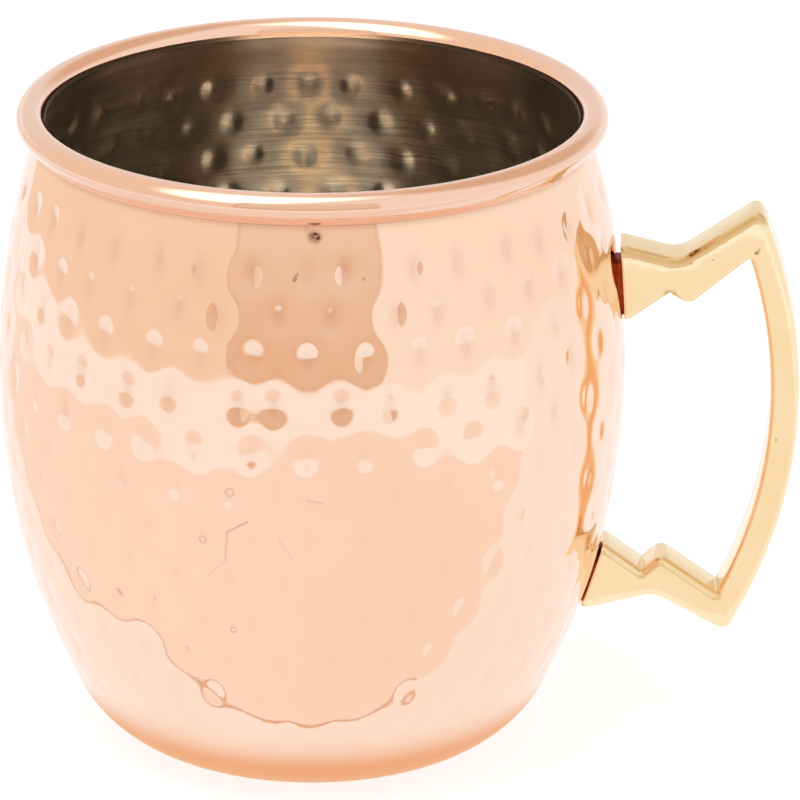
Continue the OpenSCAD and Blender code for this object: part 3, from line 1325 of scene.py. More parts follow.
@dataclass
class SteelLiner:
    """The brushed steel cup inside the shell, which took the hammer's marks as bumps.

    Lengths are in millimetres and angles in degrees.
    """

    profile: CupProfile
    hammer: HammerWork
    fine_count: int = 480
    coarse_count: int = 120
    gather: float = -0.25
    row_spacing: float = 0.62
    corner_spacing: float = 1.0
    outer_spacing: float = 3.2
    seat: float = 0.03
    feather: float = 1.5
    tuck: float = 0.06
    lap: float = 0.1
    lap_angle: float = 15.0
    lap_spacing: float = 0.3
    lap_power: int = 3
    floor_shares: tuple[float, ...] = (0.3, 0.6, 0.88)
    sharp: float = 50.0

    def build(self, material: bpy.types.Material) -> bpy.types.Object:
        """Build the liner and dress it.

        Args:
            material: The liner's finish.

        Returns:
            The finished piece.
        """
        skin = RingMesh(self.gather)
        inset = self.profile.copper_t + self.profile.steel_t
        end = self.profile.roll_angle
        rows = self.profile.wall(inset, end, self.row_spacing, self.corner_spacing)
        depth, _ = self.hammer.dents(rows, skin.angles(self.fine_count))
        skin.add(0.0, inset, 1)
        for share in self.floor_shares:
            skin.add(rows[0].r * share, inset, self.coarse_count)
        for p, d in zip(rows, depth):
            thin = max(0.0, 1 - (rows[-1].z - p.z) / self.feather) ** 2
            move = d - thin * (self.profile.steel_t - self.lap)
            skin.add(p.r - p.out_r * move, p.z - p.out_z * move, self.fine_count)
        self._lapped(skin)
        outside = self.profile.copper_t + self.seat
        back = self.profile.wall(outside, end, self.outer_spacing, self.outer_spacing)
        for p in reversed(back[:-1]):
            skin.add(p.r, p.z, self.coarse_count)
        skin.add(0.0, outside, 1)
        piece = skin.build("hammered_steel_liner", self.sharp)
        dress(piece, material, "steel_liner")
        return piece

    def _lapped(self, skin: RingMesh) -> None:
        """Add the edge that laps up the roll, thinning into the copper, and its hidden back.

        Args:
            skin: The skin that the rings go into.
        """
        x, z = self.profile.roll
        start = self.profile.roll_angle + math.pi
        stop = math.pi - math.radians(self.lap_angle)
        rows = arc_points(x, z, self.profile.roll_d / 2, start, stop, self.lap_spacing)
        for number, p in enumerate(rows[1:], 1):
            share = (number / (len(rows) - 1)) ** self.lap_power
            proud = self.lap - (self.lap + self.tuck) * share
            skin.add(p.r + proud * p.out_r, p.z + proud * p.out_z, self.fine_count)
        for p in (rows[-2], rows[0]):
            sunk = 2 * self.tuck
            skin.add(p.r - sunk * p.out_r, p.z - sunk * p.out_z, self.fine_count)


@dataclass
class BrassHandle:
    """The cast handle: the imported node's outline, eased edges and softly crowned faces.

    Lengths are in millimetres and angles in degrees.
    """

    node: bpy.types.Object
    edge_round: float = 0.9
    top_round: float = 1.15
    # Middle, width and lower-arm share of the painted dark reflection along the upper edges
    reflection_middle: float = 0.5
    reflection_width: float = 0.38
    reflection_low: float = 0.3
    edge_swell: float = 0.24
    under_swell: float = 0.26
    foot_round: float = 0.35
    crown_depth: float = 0.26
    crown_width: float = 2.7
    spacing: float = 0.55
    steps: tuple[float, ...] = (0.05, 0.2, 0.4, 0.65, 0.9, 1.2, 1.6, 2.0)
    foot_reach: float = 8.0
    foot_limit: float = 50.0
    foot_steepness: float = 2.0
    under_start: float = 0.5
    under_span: float = 0.4
    upper_share: float = 0.5
    row_tolerance: float = 0.04
    grid_gap: float = 0.6
    smoothing_rounds: int = 12
    welding: float = 0.002
    merging: float = 1e-4
    sharp: float = 55.0

    def build(self, material: bpy.types.Material) -> bpy.types.Object:
        """Build the handle and dress it.

        Args:
            material: The brass finish.

        Returns:
            The finished piece.
        """
        low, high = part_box(self.node.name)
        half = (high.y - low.y) / 2 / MM
        outline = self._swollen(self._even(self._outline(low.y)))
        flat, triangles = self._triangulate(outline)
        height = self._heights(flat, triangles, outline, half)
        count = len(outline)
        front = np.stack([flat[:, 0], -height, flat[:, 1]], axis=1)
        back = np.stack([flat[:, 0], height, flat[:, 1]], axis=1)
        points = np.concatenate([front, back]) * MM
        step = len(flat)
        faces: list[Face] = [tuple(t) for t in triangles]
        faces += [tuple(i + step for i in reversed(t)) for t in triangles]
        faces += [(i, (i + 1) % count, (i + 1) % count + step, i + step) for i in range(count)]
        piece = mesh_object("cast_brass_handle", points, faces, self.sharp)
        carry(piece, EDGE_REFLECTION, np.tile(self._edge_reflection(flat, outline), 2))
        dress(piece, material, self.node.name)
        return piece

    def _outline(self, front_y: float) -> np.ndarray:
        """Walk round the node's front face.

        Args:
            front_y: The front face's place along Y, in metres.

        Returns:
            The outline's corners in order, x and z in millimetres.
        """
        skin = bmesh.new()
        skin.from_mesh(self.node.data)
        near = self.welding * MM
        bmesh.ops.remove_doubles(skin, verts=skin.verts, dist=near)
        front = {f for f in skin.faces if all(abs(v.co.y - front_y) < near for v in f.verts)}
        rim = [e for e in skin.edges if sum(f in front for f in e.link_faces) == 1]
        beside: dict[int, list[int]] = {}
        for edge in rim:
            a, b = (v.index for v in edge.verts)
            beside.setdefault(a, []).append(b)
            beside.setdefault(b, []).append(a)
        place = {v.index: (v.co.x / MM, v.co.z / MM) for e in rim for v in e.verts}
        skin.free()
        first = min(beside)
        loop, before = [first], None
        while True:
            ahead = [n for n in beside[loop[-1]] if n != before]
            before = loop[-1]
            if ahead[0] == first and len(loop) > 2:
                break
            loop.append(ahead[0])
        walked = np.array([place[i] for i in loop])
        nxt = np.roll(walked, -1, axis=0)
        area = float(np.sum(walked[:, 0] * nxt[:, 1] - nxt[:, 0] * walked[:, 1]))
        return walked if area > 0 else walked[::-1]

    def _even(self, corners: np.ndarray) -> np.ndarray:
        """Split the outline's long edges so that no step is longer than the spacing.

        Args:
            corners: The outline's corners, x and z in millimetres.

        Returns:
            The outline's points, x and z in millimetres.
        """
        points = []
        for a, b in zip(corners, np.roll(corners, -1, axis=0)):
            parts = max(1, math.ceil(float(np.hypot(*(b - a))) / self.spacing))
            points += [a + (b - a) * k / parts for k in range(parts)]
        return np.array(points)

    def _foot_edges(self, outline: np.ndarray) -> np.ndarray:
        """Tell which steps of the outline run along the feet's ends, against the cup.

        Args:
            outline: The outline's points, x and z in millimetres.

        Returns:
            True for each such step, by the point that it starts at.
        """
        step = np.roll(outline, -1, axis=0) - outline
        near_cup = outline[:, 0] < outline[:, 0].min() + self.foot_reach
        steep = np.abs(step[:, 1]) > self.foot_steepness * np.abs(step[:, 0])
        return near_cup & steep & (outline[:, 0] < self.foot_limit)

    def feet(self) -> list[tuple[np.ndarray, np.ndarray]]:
        """Ends of the feet against the cup.

        Returns:
            For the lower and the upper foot, the lowest and the highest place, x and z in millimetres.
        """
        low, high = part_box(self.node.name)
        outline = self._even(self._outline(low.y))
        edges = np.nonzero(self._foot_edges(outline))[0]
        places = outline[np.union1d(edges, (edges + 1) % len(outline))]
        middle = (low.z + high.z) / 2 / MM
        found = []
        for foot in (places[places[:, 1] < middle], places[places[:, 1] >= middle]):
            order = foot[np.argsort(foot[:, 1])]
            found.append((order[0], order[-1]))
        return found

    def _swollen(self, outline: np.ndarray) -> np.ndarray:
        """Move the outline out, apart from the feet's ends, so that easing its edges doesn't shrink it.

        Args:
            outline: The outline's points, x and z in millimetres.

        Returns:
            The moved points.
        """
        foot = self._foot_edges(outline)
        held = foot | np.roll(foot, 1)
        along = np.roll(outline, -1, axis=0) - np.roll(outline, 1, axis=0)
        out = np.stack([along[:, 1], -along[:, 0]], axis=1)
        out /= np.linalg.norm(out, axis=1)[:, None]
        under = np.clip((-out[:, 1] - self.under_start) / self.under_span, 0, 1)
        for _ in range(self.smoothing_rounds):
            under = (np.roll(under, 1) + 2 * under + np.roll(under, -1)) / 4
        swell = self.edge_swell + self.under_swell * under
        return np.where(held[:, None], outline, outline + swell[:, None] * out)

    def _distances(self, points: np.ndarray, starts: np.ndarray, ends: np.ndarray) -> np.ndarray:
        """Distance of each point from the nearest of some edges, in millimetres.

        Args:
            points: The points, x and z in millimetres.
            starts: Where each edge starts.
            ends: Where each edge ends.

        Returns:
            One distance per point.
        """
        along = ends - starts
        square = np.maximum((along ** 2).sum(1), NEARLY_NONE)
        best = np.full(len(points), np.inf)
        for start, step, size in zip(starts, along, square):
            share = np.clip((points - start) @ step / size, 0, 1)
            gap = points - start - share[:, None] * step
            best = np.minimum(best, np.hypot(gap[:, 0], gap[:, 1]))
        return best

    def _triangulate(self, outline: np.ndarray) -> tuple[np.ndarray, list[Face]]:
        """Fill the outline with triangles whose rows follow its edge.

        Args:
            outline: The outline's points, x and z in millimetres.

        Returns:
            The points, the outline's first, and the triangles.
        """
        ends = np.roll(outline, -1, axis=0)
        along = ends - np.roll(outline, 1, axis=0)
        inward = np.stack([-along[:, 1], along[:, 0]], axis=1)
        inward /= np.linalg.norm(inward, axis=1)[:, None]
        chosen = []
        for depth in self.steps:
            moved = outline + inward * depth
            clear = self._distances(moved, outline, ends)
            chosen.append(moved[np.abs(clear - depth) < self.row_tolerance])
        low, high = outline.min(0), outline.max(0)
        columns = np.arange(low[0], high[0], self.spacing)
        rows = np.arange(low[1], high[1], self.spacing)
        grid = np.stack(np.meshgrid(columns, rows), axis=-1).reshape(-1, 2)
        grid = grid[self._inside(grid, outline)]
        clear = self._distances(grid, outline, ends)
        chosen.append(grid[clear > self.steps[-1] + self.grid_gap * self.spacing])
        every = np.concatenate([outline, *chosen])
        edges = [(i, (i + 1) % len(outline)) for i in range(len(outline))]
        verts, _, faces, origin, _, _ = delaunay_2d_cdt(
            [Vector(p) for p in every], edges, [], FILL_INSIDE, self.merging)
        place = np.array([tuple(v) for v in verts])
        order = {source: i for i, sources in enumerate(origin) for source in sources}
        first = [order[i] for i in range(len(outline))]
        rest = sorted(set(range(len(place))) - set(first))
        renumber = {old: new for new, old in enumerate(first + rest)}
        return place[first + rest], [tuple(renumber[i] for i in f) for f in faces]

    @staticmethod
    def _inside(points: np.ndarray, outline: np.ndarray) -> np.ndarray:
        """Tell which points lie inside the outline.

        Args:
            points: The points, x and z in millimetres.
            outline: The outline's points.

        Returns:
            True for each point inside.
        """
        inside = np.zeros(len(points), bool)
        for a, b in zip(outline, np.roll(outline, -1, axis=0)):
            crosses = (a[1] > points[:, 1]) != (b[1] > points[:, 1])
            rise = b[1] - a[1] if b[1] != a[1] else NEARLY_NONE
            x = a[0] + (points[:, 1] - a[1]) * (b[0] - a[0]) / rise
            inside ^= crosses & (points[:, 0] < x)
        return inside

    def _upper_edges(self, outline: np.ndarray) -> np.ndarray:
        """Tell which steps of the outline face upwards, apart from the feet's ends.

        Args:
            outline: The outline's points, x and z in millimetres.

        Returns:
            True for each such step, by the point that it starts at.
        """
        step = np.roll(outline, -1, axis=0) - outline
        level = -step[:, 0] > self.upper_share * np.hypot(step[:, 0], step[:, 1])
        return ~self._foot_edges(outline) & level

    def _edge_reflection(self, flat: np.ndarray, outline: np.ndarray) -> np.ndarray:
        """How much painted dark reflection each point takes, in a strip along the upper edges.

        Args:
            flat: The points, x and z in millimetres.
            outline: The outline's points.

        Returns:
            One share from 0 to 1 per point.
        """
        upper = self._upper_edges(outline)
        gap = self._distances(flat, outline[upper], np.roll(outline, -1, axis=0)[upper])
        strip = np.exp(-((gap - self.reflection_middle) / self.reflection_width) ** 2)
        # The painted reflection is weaker on the lower arm
        return np.where(flat[:, 1] > outline[:, 1].mean(), strip, self.reflection_low * strip)

    def _heights(self, flat: np.ndarray, triangles: list[Face], outline: np.ndarray, half: float
                 ) -> np.ndarray:
        """Height of the handle's faces over its middle plane.

        Args:
            flat: The points, x and z in millimetres.
            triangles: The triangles between them.
            outline: The outline's points.
            half: Half of the handle's breadth, in millimetres.

        Returns:
            One height per point, in millimetres.
        """
        ends = np.roll(outline, -1, axis=0)
        foot = self._foot_edges(outline)
        upper = self._upper_edges(outline)
        side = self._distances(flat, outline[~foot], ends[~foot])
        top = self._distances(flat, outline[upper], ends[upper])
        end = self._distances(flat, outline[foot], ends[foot])
        crown = self.crown_depth * np.clip(1 - side / self.crown_width, 0, None) ** 2
        crown = self._smoothed(crown, triangles, side)
        drop = np.maximum(self._eased(side, self.edge_round), self._eased(top, self.top_round))
        return half - np.maximum(drop + crown, self._eased(end, self.foot_round))

    def _smoothed(self, values: np.ndarray, triangles: list[Face], side: np.ndarray) -> np.ndarray:
        """Even out values across the middle of the face, leaving the rounded edge as it is.

        Args:
            values: One value per point.
            triangles: The triangles between the points.
            side: Distance of each point from the outline, in millimetres.

        Returns:
            The evened values.
        """
        pairs = np.array([(a, b) for t in triangles for a, b in zip(t, (*t[1:], t[0]))])
        free = side > self.edge_round
        for _ in range(self.smoothing_rounds):
            total, count = np.zeros(len(values)), np.zeros(len(values))
            for a, b in (pairs.T, pairs.T[::-1]):
                np.add.at(total, a, values[b])
                np.add.at(count, a, 1.0)
            values = np.where(free, total / np.maximum(count, 1), values)
        return values

    @staticmethod
    def _eased(distance: np.ndarray, radius: float) -> np.ndarray:
        """Drop of a quarter-round edge of a radius, at a distance from the edge."""
        reach = np.clip(radius - distance, 0, None)
        return radius - np.sqrt(np.clip(radius ** 2 - reach ** 2, 0, None))


@dataclass
class BrazeSeams:
    """Filler that has run out into the gap between the cup and each foot.

    Lengths are in millimetres and angles in degrees.
    """

    profile: CupProfile
    handle: BrassHandle
    half_width: float = 3.5
    sink: float = 0.12
    waist: float = 0.16
    squareness: float = 0.55
    around: int = 48
    through: int = 6
    sharp: float = 50.0
    spans: tuple[tuple[str, float, float], ...] = (
        ("lower_braze", 0.0, 0.90), ("upper_braze", 0.0, 0.80))

    def build(self, material: bpy.types.Material) -> list[bpy.types.Object]:
        """Build both seams and dress them.

        Args:
            material: The filler's finish.

        Returns:
            The finished pieces.
        """
        made = []
        for (node, first, last), (bottom, top) in zip(self.spans, self.handle.feet()):
            points, faces = self._seam(bottom, top, first, last)
            piece = mesh_object(node + "_seam", points, faces, self.sharp)
            dress(piece, material, node)
            made.append(piece)
        return made

    def _wall_r(self, z: np.ndarray) -> np.ndarray:
        """Distance of the cup's outside from the axis, at heights above its base corner.

        Args:
            z: The heights, in millimetres.

        Returns:
            One distance per height, in millimetres.
        """
        cup = self.profile
        rise = (z - cup.belly_z) ** 2
        upper = cup.shoulder_x + np.sqrt(cup.shoulder_arc_r ** 2 - rise)
        lower = cup.flank_x + np.sqrt(cup.flank_arc_r ** 2 - rise)
        return np.where(z > cup.belly_z, upper, lower)

    def _seam(self, bottom: np.ndarray, top: np.ndarray, first: float, last: float
              ) -> tuple[np.ndarray, list[Face]]:
        """One seam: rings from the cup's wall to the foot's end, closed at both ends.

        Args:
            bottom: Lowest place of the foot's end, x and z.
            top: Highest place of the foot's end.
            first: Share of the foot's height at which the seam starts.
            last: Share at which it stops.

        Returns:
            The points in metres and the faces.
        """
        turn = np.arange(self.around) * (2 * math.pi / self.around)
        wide = np.sign(np.cos(turn)) * np.abs(np.cos(turn)) ** self.squareness
        tall = np.sign(np.sin(turn)) * np.abs(np.sin(turn)) ** self.squareness
        rings = []
        for step in range(self.through + 1):
            share = step / self.through
            pinch = 1 - self.waist * math.sin(math.pi * share) / self.half_width
            y = self.half_width * pinch * wide
            level = (first + last) / 2 + (last - first) / 2 * pinch * tall
            z = bottom[1] + (top[1] - bottom[1]) * level
            foot_x = bottom[0] + (top[0] - bottom[0]) * level + self.sink
            cup_x = np.sqrt(self._wall_r(z) ** 2 - y ** 2) - 2 * self.sink
            rings.append(np.stack([cup_x + (foot_x - cup_x) * share, y, z], axis=1))
        points = np.concatenate([*rings, [rings[0].mean(0)], [rings[-1].mean(0)]]) * MM
        n, faces = self.around, []
        for step in range(self.through):
            for i in range(n):
                j = (i + 1) % n
                faces.append((step * n + i, step * n + j, (step + 1) * n + j, (step + 1) * n + i))
        cup, foot = len(points) - 2, len(points) - 1
        last_ring = self.through * n
        for i in range(n):
            j = (i + 1) % n
            faces += [(j, i, cup), (last_ring + i, last_ring + j, foot)]
        return points, faces


@dataclass
class Fixings:
    """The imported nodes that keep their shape: the rim's wire and the studs."""

    nodes: dict[str, bpy.types.Object]
    steel: tuple[str, ...] = ("rim_wire", "upper_stud", "lower_stud")

    def dress(self, effects: EffectGroups) -> list[str]:
        """Give each node its finish.

        Args:
            effects: The shared node groups.

        Returns:
            The nodes' names.
        """
        material = PlainSteelFinish().material(effects)
        for name in self.steel:
            set_material(self.nodes[name], material)
        return list(self.steel)


def direction(azimuth: float, elevation: float) -> Vector:
    """Give a direction by its azimuth from the front towards the handle and its elevation, in degrees."""
    a, e = math.radians(azimuth), math.radians(elevation)
    return Vector((math.sin(a) * math.cos(e), -math.cos(a) * math.cos(e), math.sin(e)))


@dataclass
class Studio:
    """Pale floor, soft light and the cards that polished metal mirrors, in metres.

    Angles are in degrees. The first five limits, where the room's colours change, are measured along a
    direction of length 1.
    """

    white: Colour = (1.0, 1.0, 1.0)
    left_wall: Colour = (0.97, 0.845, 0.72)
    right_wall: Colour = (1.02, 1.0, 0.955)
    back_low: Colour = (1.0, 1.0, 1.0)
    back_high: Colour = (0.93, 0.88, 0.855)
    dim_corner: Colour = (0.80, 0.615, 0.475)
    zenith: Colour = (1.0, 0.93, 0.87)
    # Painted shade round the mug on the floor, warmed by painted copper light
    shade_patch_left: Colour = (1.02, 0.95, 0.90)
    shade_patch_right: Colour = (1.01, 0.93, 0.86)
    glow: Colour = (0.91, 0.57, 0.36)
    # Painted shadow along the paper's edge
    paper_edge_shadow: Colour = (0.80, 0.55, 0.40)
    flag_low: Colour = (0.845, 0.65, 0.495)
    flag_high: Colour = (0.92, 0.79, 0.68)
    flag_edge: Colour = (0.74, 0.53, 0.38)
    side_limits: tuple[float, float] = (-0.3, 0.5)
    back_limits: tuple[float, float] = (0.35, 0.8)
    back_rise: tuple[float, float] = (0.04, 0.24)
    dim_limits: tuple[float, float] = (0.78, 0.94)
    zenith_limits: tuple[float, float] = (0.93, 0.99)
    floor_half: float = 4.0
    floor_z: float = -0.4 * MM
    shade_patch_z: float = -0.3 * MM
    paper_shadow_z: float = -0.2 * MM
    paper_z: float = -0.1 * MM
    floor_shine: float = 0.82
    floor_shade: Colour = (0.26, 0.26, 0.26)
    band: Colour = (1.05, 1.10, 1.14)
    band_reach: float = 0.50
    band_blur: float = 0.01
    paper: Colour = (1.04, 1.05, 1.06)
    flag_y: float = -0.56
    flag_sides: tuple[float, float] = (-0.270, 0.291)
    flag_top: float = 0.555
    flag_fade: tuple[float, float] = (0.0, 0.3)
    flag_line: tuple[float, float] = (0.003, 0.014)
    dim_azimuth: float = 132.0
    dim_elevation: float = 45.0
    paper_front: float = -0.043
    paper_left: float = -0.052
    paper_lean: float = 0.70
    paper_far: float = 0.6
    paper_line_end: float = 0.03
    paper_line: float = 0.0008
    glow_reach: tuple[float, float] = (0.031, 0.042)
    # Sides and outline of the painted shade round the mug
    shade_patch_sides: tuple[float, float] = (-0.15, 0.12)
    shade_patch_outline: tuple[tuple[float, float], ...] = (
        (-0.235, 0.30), (-0.238, -0.06), (-0.20, -0.134), (-0.132, -0.14), (-0.096, -0.178),
        (-0.062, -0.248), (0.0, -0.264), (0.066, -0.270), (0.121, -0.224), (0.16, -0.16),
        (0.19, -0.09), (0.20, 0.30))
    window: Colour = (1.0, 0.93, 0.82)
    window_sides: tuple[float, float] = (-0.33, 0.43)
    window_low: float = 0.485
    window_high: float = 1.05
    window_strength: float = 88.0
    face_azimuth: float = -40.0
    face_elevation: float = 62.0
    face_half_width: float = 0.46
    face_half_height: float = 0.85
    face_core: float = 0.25
    face_squareness: float = 3.0
    face_strength: float = 1.9
    lamp_azimuth: float = -30.0
    lamp_elevation: float = 62.0
    lamp_distance: float = 0.9
    lamp_aim: float = 0.09
    lamp_half: float = 0.2
    lamp_energy: float = 3.0

    def build(self, shell: bpy.types.Object, liner: bpy.types.Object) -> None:
        """Set up the floor, the sheets on it, the cards, the lamp and the world.

        Args:
            shell: The copper cup, which mirrors the softbox.
            liner: The steel cup, which mirrors the softbox and the window.
        """
        self._world()
        self._floor()
        # Painted shade round the mug, seen in the metal
        self._shade_patch()
        self._paper()
        self._flag()
        self._shine_on(self._window(), [liner])
        self._lamp()
        self._shine_on(self._softbox(), [shell, liner])

    def _plane(self, name: str, corners: list[tuple[float, float, float]],
               material: bpy.types.Material) -> bpy.types.Object:
        """Make one flat stage piece.

        Args:
            name: The piece's name.
            corners: Its corners in order, in metres.
            material: Its material.

        Returns:
            The piece.
        """
        mesh = bpy.data.meshes.new(name)
        mesh.from_pydata(corners, [], [tuple(range(len(corners)))])
        made = bpy.data.objects.new(name, mesh)
        bpy.context.scene.collection.objects.link(made)
        set_material(made, material)
        return made

    @staticmethod
    def _only_mirrored(piece: bpy.types.Object) -> None:
        """Let a stage piece show in reflections alone.

        Args:
            piece: The stage piece.
        """
        piece.visible_camera = False
        piece.visible_diffuse = False
        piece.visible_transmission = False
        piece.visible_volume_scatter = False
        piece.visible_shadow = False

    @staticmethod
    def _glowing(name: str, clear: bool = False) -> tuple[bpy.types.Material, Wiring, bpy.types.Node]:
        """Make a material that only gives out light, of strength 1 unless that is changed.

        Args:
            name: The material's name.
            clear: True to add the glow to what lies behind it, for the pieces that don't mirror it.

        Returns:
            The material, its wiring and its emission shader.
        """
        material, w = blank_material(name)
        emission = w.node("ShaderNodeEmission", {"Strength": 1.0})
        surface = emission
        if clear:
            behind = w.node("ShaderNodeBsdfTransparent")
            surface = w.node("ShaderNodeAddShader", {0: behind.outputs[0], 1: emission.outputs[0]})
        w.node("ShaderNodeOutputMaterial", {"Surface": surface.outputs[0]})
        return material, w, emission

    @staticmethod
    def _place(w: Wiring) -> list[bpy.types.NodeSocket]:
        """Give the x, y and z of a place in the scene."""
        return w.parts(w.node("ShaderNodeNewGeometry").outputs["Position"])

    def _world(self) -> None:
        """White for the camera; elsewhere a soft room, warm on the left and dim high at the back right."""
        world = bpy.data.worlds.new("studio_room")
        bpy.context.scene.world = world
        world.use_nodes = True
        world.node_tree.nodes.clear()
        w = Wiring(world.node_tree)
        towards = w.node("ShaderNodeTexCoord").outputs["Generated"]
        x, y, z = w.parts(towards)
        room = w.blend(w.remap(x, *self.side_limits), self.left_wall, self.right_wall)
        behind = w.blend(w.remap(z, *self.back_rise), self.back_low, self.back_high)
        room = w.blend(w.remap(y, *self.back_limits), room, behind)
        corner = tuple(direction(self.dim_azimuth, self.dim_elevation))
        nearness = w.vector("DOT_PRODUCT", towards, corner).outputs["Value"]
        room = w.blend(w.remap(nearness, *self.dim_limits), room, self.dim_corner)
        room = w.blend(w.remap(z, *self.zenith_limits), room, self.zenith)
        soft = w.node("ShaderNodeBackground", {"Color": room, "Strength": 1.0})
        plain = w.node("ShaderNodeBackground", {"Color": rgba(self.white), "Strength": 1.0})
        path = w.node("ShaderNodeLightPath")
        mixed = w.node("ShaderNodeMixShader", {0: path.outputs["Is Camera Ray"],
                                               1: soft.outputs[0], 2: plain.outputs[0]})
        w.node("ShaderNodeOutputWorld", {"Surface": mixed.outputs[0]})

    def _floor(self) -> None:
        """White floor that keeps the soft shadow; metal mirrors a bright ring with the room beyond."""
        material, w = blank_material("pale_floor")
        x, y, _ = self._place(w)
        reach = w.radius(x, y)
        aside = w.remap(w.math("DIVIDE", x, reach), *self.side_limits)
        far = w.blend(aside, self.left_wall, self.right_wall)
        beyond = w.remap(reach, self.band_reach - self.band_blur, self.band_reach + self.band_blur)
        seen = w.blend(beyond, self.band, far)
        mirrored = w.node("ShaderNodeEmission", {"Color": seen, "Strength": 1.0})
        lit = w.node("ShaderNodeBsdfDiffuse", {"Color": rgba(self.white)})
        faint = w.node("ShaderNodeBsdfDiffuse", {"Color": rgba(self.floor_shade)})
        plain = w.node("ShaderNodeEmission", {"Color": rgba(self.white), "Strength": self.floor_shine})
        shaded = w.node("ShaderNodeAddShader", {0: faint.outputs[0], 1: plain.outputs[0]})
        path = w.node("ShaderNodeLightPath")
        shown = w.node("ShaderNodeMixShader", {0: path.outputs["Is Camera Ray"],
                                               1: lit.outputs[0], 2: shaded.outputs[0]})
        mirror = w.math("MAXIMUM", path.outputs["Is Glossy Ray"], path.outputs["Is Transmission Ray"])
        final = w.node("ShaderNodeMixShader", {0: mirror, 1: shown.outputs[0], 2: mirrored.outputs[0]})
        w.node("ShaderNodeOutputMaterial", {"Surface": final.outputs[0]})
        h, z = self.floor_half, self.floor_z
        self._plane("floor", [(-h, -h, z), (h, -h, z), (h, h, z), (-h, h, z)], material)

    def _shade_patch(self) -> None:
        """Painted shade of the mug on the floor round it, warmed by painted copper light, seen in the metal
        alone.
        """
        material, w, emission = self._glowing("shade_patch_glow")
        x, _, _ = self._place(w)
        colour = w.blend(w.remap(x, *self.shade_patch_sides), self.shade_patch_left, self.shade_patch_right)
        w.feed(emission.inputs["Color"], colour)
        corners = [(*corner, self.shade_patch_z) for corner in self.shade_patch_outline]
        self._only_mirrored(self._plane("floor_shade_patch", corners, material))

    def _paper(self) -> None:
        """White paper under the mug with a painted shadow along its edge and a copper glow, seen in the
        metal alone.
        """
        for name, grow, z in (("paper_edge_shadow", self.paper_line, self.paper_shadow_z),
                              ("paper", 0.0, self.paper_z)):
            material, w, emission = self._glowing(name + "_glow")
            if name == "paper":
                x, y, _ = self._place(w)
                near = w.remap(w.radius(x, y), *self.glow_reach)
                w.feed(emission.inputs["Color"], w.blend(near, self.glow, self.paper))
            else:
                # Painted shadow along the paper's edge
                w.feed(emission.inputs["Color"], rgba(self.paper_edge_shadow))
            front, left, far = self.paper_front - grow, self.paper_left - grow, self.paper_far
            back_left = left - self.paper_lean * (far - front)
            right = far if name == "paper" else self.paper_line_end
            corners = [(left, front, z), (right, front, z), (right, far, z), (back_left, far, z)]
            self._only_mirrored(self._plane(name, corners, material))

    def _flag(self) -> None:
        """Tan flag in front of the mug, which gives polished metal its dark patch."""
        material, w, emission = self._glowing("flag_glow")
        x, _, z = self._place(w)
        y, left, right, top = self.flag_y, *self.flag_sides, self.flag_top
        inside = w.math("MINIMUM", w.math("SUBTRACT", x, left), w.math("SUBTRACT", right, x))
        inside = w.math("MINIMUM", inside, z)
        face = w.blend(w.remap(z, *self.flag_fade), self.flag_low, self.flag_high)
        colour = w.blend(w.remap(inside, *self.flag_line), self.flag_edge, face)
        w.feed(emission.inputs["Color"], colour)
        corners = [(left, y, 0.0), (right, y, 0.0), (right, y, top), (left, y, top)]
        self._only_mirrored(self._plane("front_flag", corners, material))

    @staticmethod
    def _shine_on(card: bpy.types.Object, lit: list[bpy.types.Object]) -> None:
        """Let a card show in the named pieces alone.

        Args:
            card: The glowing stage piece.
            lit: The pieces that mirror it.
        """
        chosen = bpy.data.collections.new(f"lit_by_{card.name}")
        for piece in lit:
            chosen.objects.link(piece)
        card.light_linking.receiver_collection = chosen

    def _window(self) -> bpy.types.Object:
        """Make the bright window over the flag, which brushed steel draws out into an upright panel.

        Returns:
            The window.
        """
        material, w, emission = self._glowing("window_glow", clear=True)
        w.feed(emission.inputs["Color"], rgba(self.window))
        emission.inputs["Strength"].default_value = self.window_strength
        y, (left, right) = self.flag_y, self.window_sides
        low, high = self.window_low, self.window_high
        corners = [(left, y, low), (right, y, low), (right, y, high), (left, y, high)]
        window = self._plane("front_window", corners, material)
        self._only_mirrored(window)
        return window

    def _aimed(self, made: bpy.types.Object, azimuth: float, elevation: float) -> None:
        """Hang a stage piece over the mug, facing it.

        Args:
            made: The stage piece.
            azimuth: Its azimuth from the front towards the handle, in degrees.
            elevation: Its elevation, in degrees.
        """
        out = direction(azimuth, elevation)
        made.location = out * self.lamp_distance + Vector((0.0, 0.0, self.lamp_aim))
        made.rotation_mode = "QUATERNION"
        made.rotation_quaternion = out.to_track_quat("Z", "Y")

    def _lamp(self) -> None:
        """Soft lamp over the mug, which metal doesn't mirror."""
        lamp = bpy.data.lights.new("soft_lamp", "AREA")
        lamp.shape = "SQUARE"
        lamp.size = 2 * self.lamp_half
        lamp.energy = self.lamp_energy
        made = bpy.data.objects.new("soft_lamp", lamp)
        bpy.context.scene.collection.objects.link(made)
        made.visible_glossy = False
        self._aimed(made, self.lamp_azimuth, self.lamp_elevation)

    def _softbox(self) -> bpy.types.Object:
        """Make the face of a softbox that the cup mirrors, fading towards its edge.

        Returns:
            The face.
        """
        material, w, emission = self._glowing("softbox_glow", clear=True)
        x, y, _ = w.parts(w.place())
        a, b = self.face_half_width, self.face_half_height
        shares = [w.math("ABSOLUTE", w.math("DIVIDE", part, half)) for part, half in ((x, a), (y, b))]
        powers = [w.math("POWER", share, self.face_squareness) for share in shares]
        reach = w.math("POWER", w.math("ADD", *powers), 1 / self.face_squareness)
        fade = w.remap(reach, self.face_core, 1.0, self.face_strength, 0.0)
        w.feed(emission.inputs["Strength"], fade)
        corners = [(-a, -b, 0.0), (a, -b, 0.0), (a, b, 0.0), (-a, b, 0.0)]
        face = self._plane("softbox_face", corners, material)
        self._aimed(face, self.face_azimuth, self.face_elevation)
        self._only_mirrored(face)
        return face


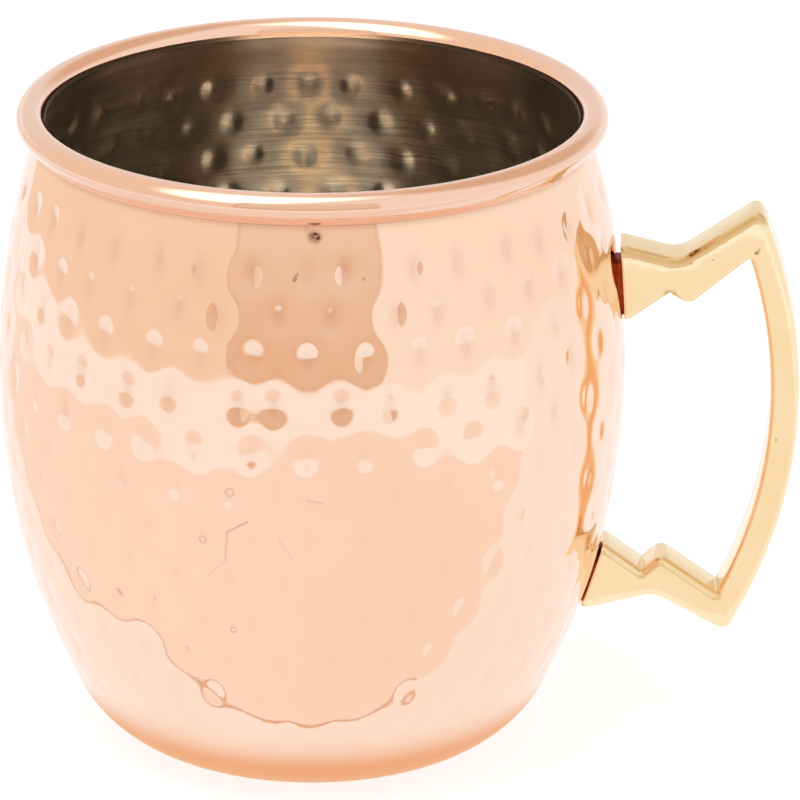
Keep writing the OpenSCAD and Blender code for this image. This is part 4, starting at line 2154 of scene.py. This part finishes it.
@dataclass
class PhotoCamera:
    """Camera at the photograph's place: angles in degrees, lengths in metres, places in pixels."""

    azimuth: float = 3.0
    elevation: float = 21.0036
    distance: float = 0.901
    aim_z: float = 0.04935
    focal_pixels: float = 6091.89
    centre_x: float = 312.42
    centre_y: float = 408.38
    sensor: float = 36.0

    def build(self) -> bpy.types.Object:
        """Make the camera, turned so that the mug and its handle fill the square picture.

        Returns:
            The camera.
        """
        back = direction(self.azimuth, self.elevation)
        right = direction(self.azimuth + RIGHT_ANGLE, 0.0)
        up = back.cross(right)
        middle = PICTURE_WIDTH / 2
        forward = (-back + right * (middle - self.centre_x) / self.focal_pixels
                   + up * (self.centre_y - middle) / self.focal_pixels).normalized()
        right = (right - forward * right.dot(forward)).normalized()
        up = right.cross(forward)
        data = bpy.data.cameras.new("photo_camera")
        data.sensor_width = self.sensor
        data.lens = self.focal_pixels / PICTURE_WIDTH * self.sensor
        made = bpy.data.objects.new("photo_camera", data)
        bpy.context.scene.collection.objects.link(made)
        place = Vector((0.0, 0.0, self.aim_z)) + back * self.distance
        frame = Matrix((right, up, -forward)).transposed().to_4x4()
        made.matrix_world = Matrix.Translation(place) @ frame
        bpy.context.scene.camera = made
        return made


def main() -> None:
    """Build the pieces in order, the studio and the camera."""
    logging.basicConfig(level=logging.INFO, format="%(name)s: %(message)s")
    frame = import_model()
    bpy.context.scene.view_settings.view_transform = "Standard"
    effects = EffectGroups()
    profile, hammer = CupProfile(), HammerWork()
    bulges = HammerWork(core_width=2.0, core_height=2.3, core_depth=0.32,
                        soft_radius=4.2, soft_depth=0.12)
    handle = BrassHandle(frame["nodes"]["brass_handle"])
    liner = SteelLiner(profile, bulges).build(LinerFinish().material(effects))
    shell = CopperShell(profile, hammer).build(CopperFinish().material(effects))
    pieces = [
        shell,
        liner,
        handle.build(BrassFinish().material(effects)),
        *BrazeSeams(profile, handle).build(FillerFinish().material(effects)),
    ]
    for piece in pieces:
        LOG.info("%s: %d faces", piece.name, len(piece.data.polygons))
    for name in Fixings(frame["nodes"]).dress(effects):
        LOG.info("%s: packed shape kept", name)
    Studio().build(shell, liner)
    PhotoCamera().build()


if __name__ == "__main__":
    main()
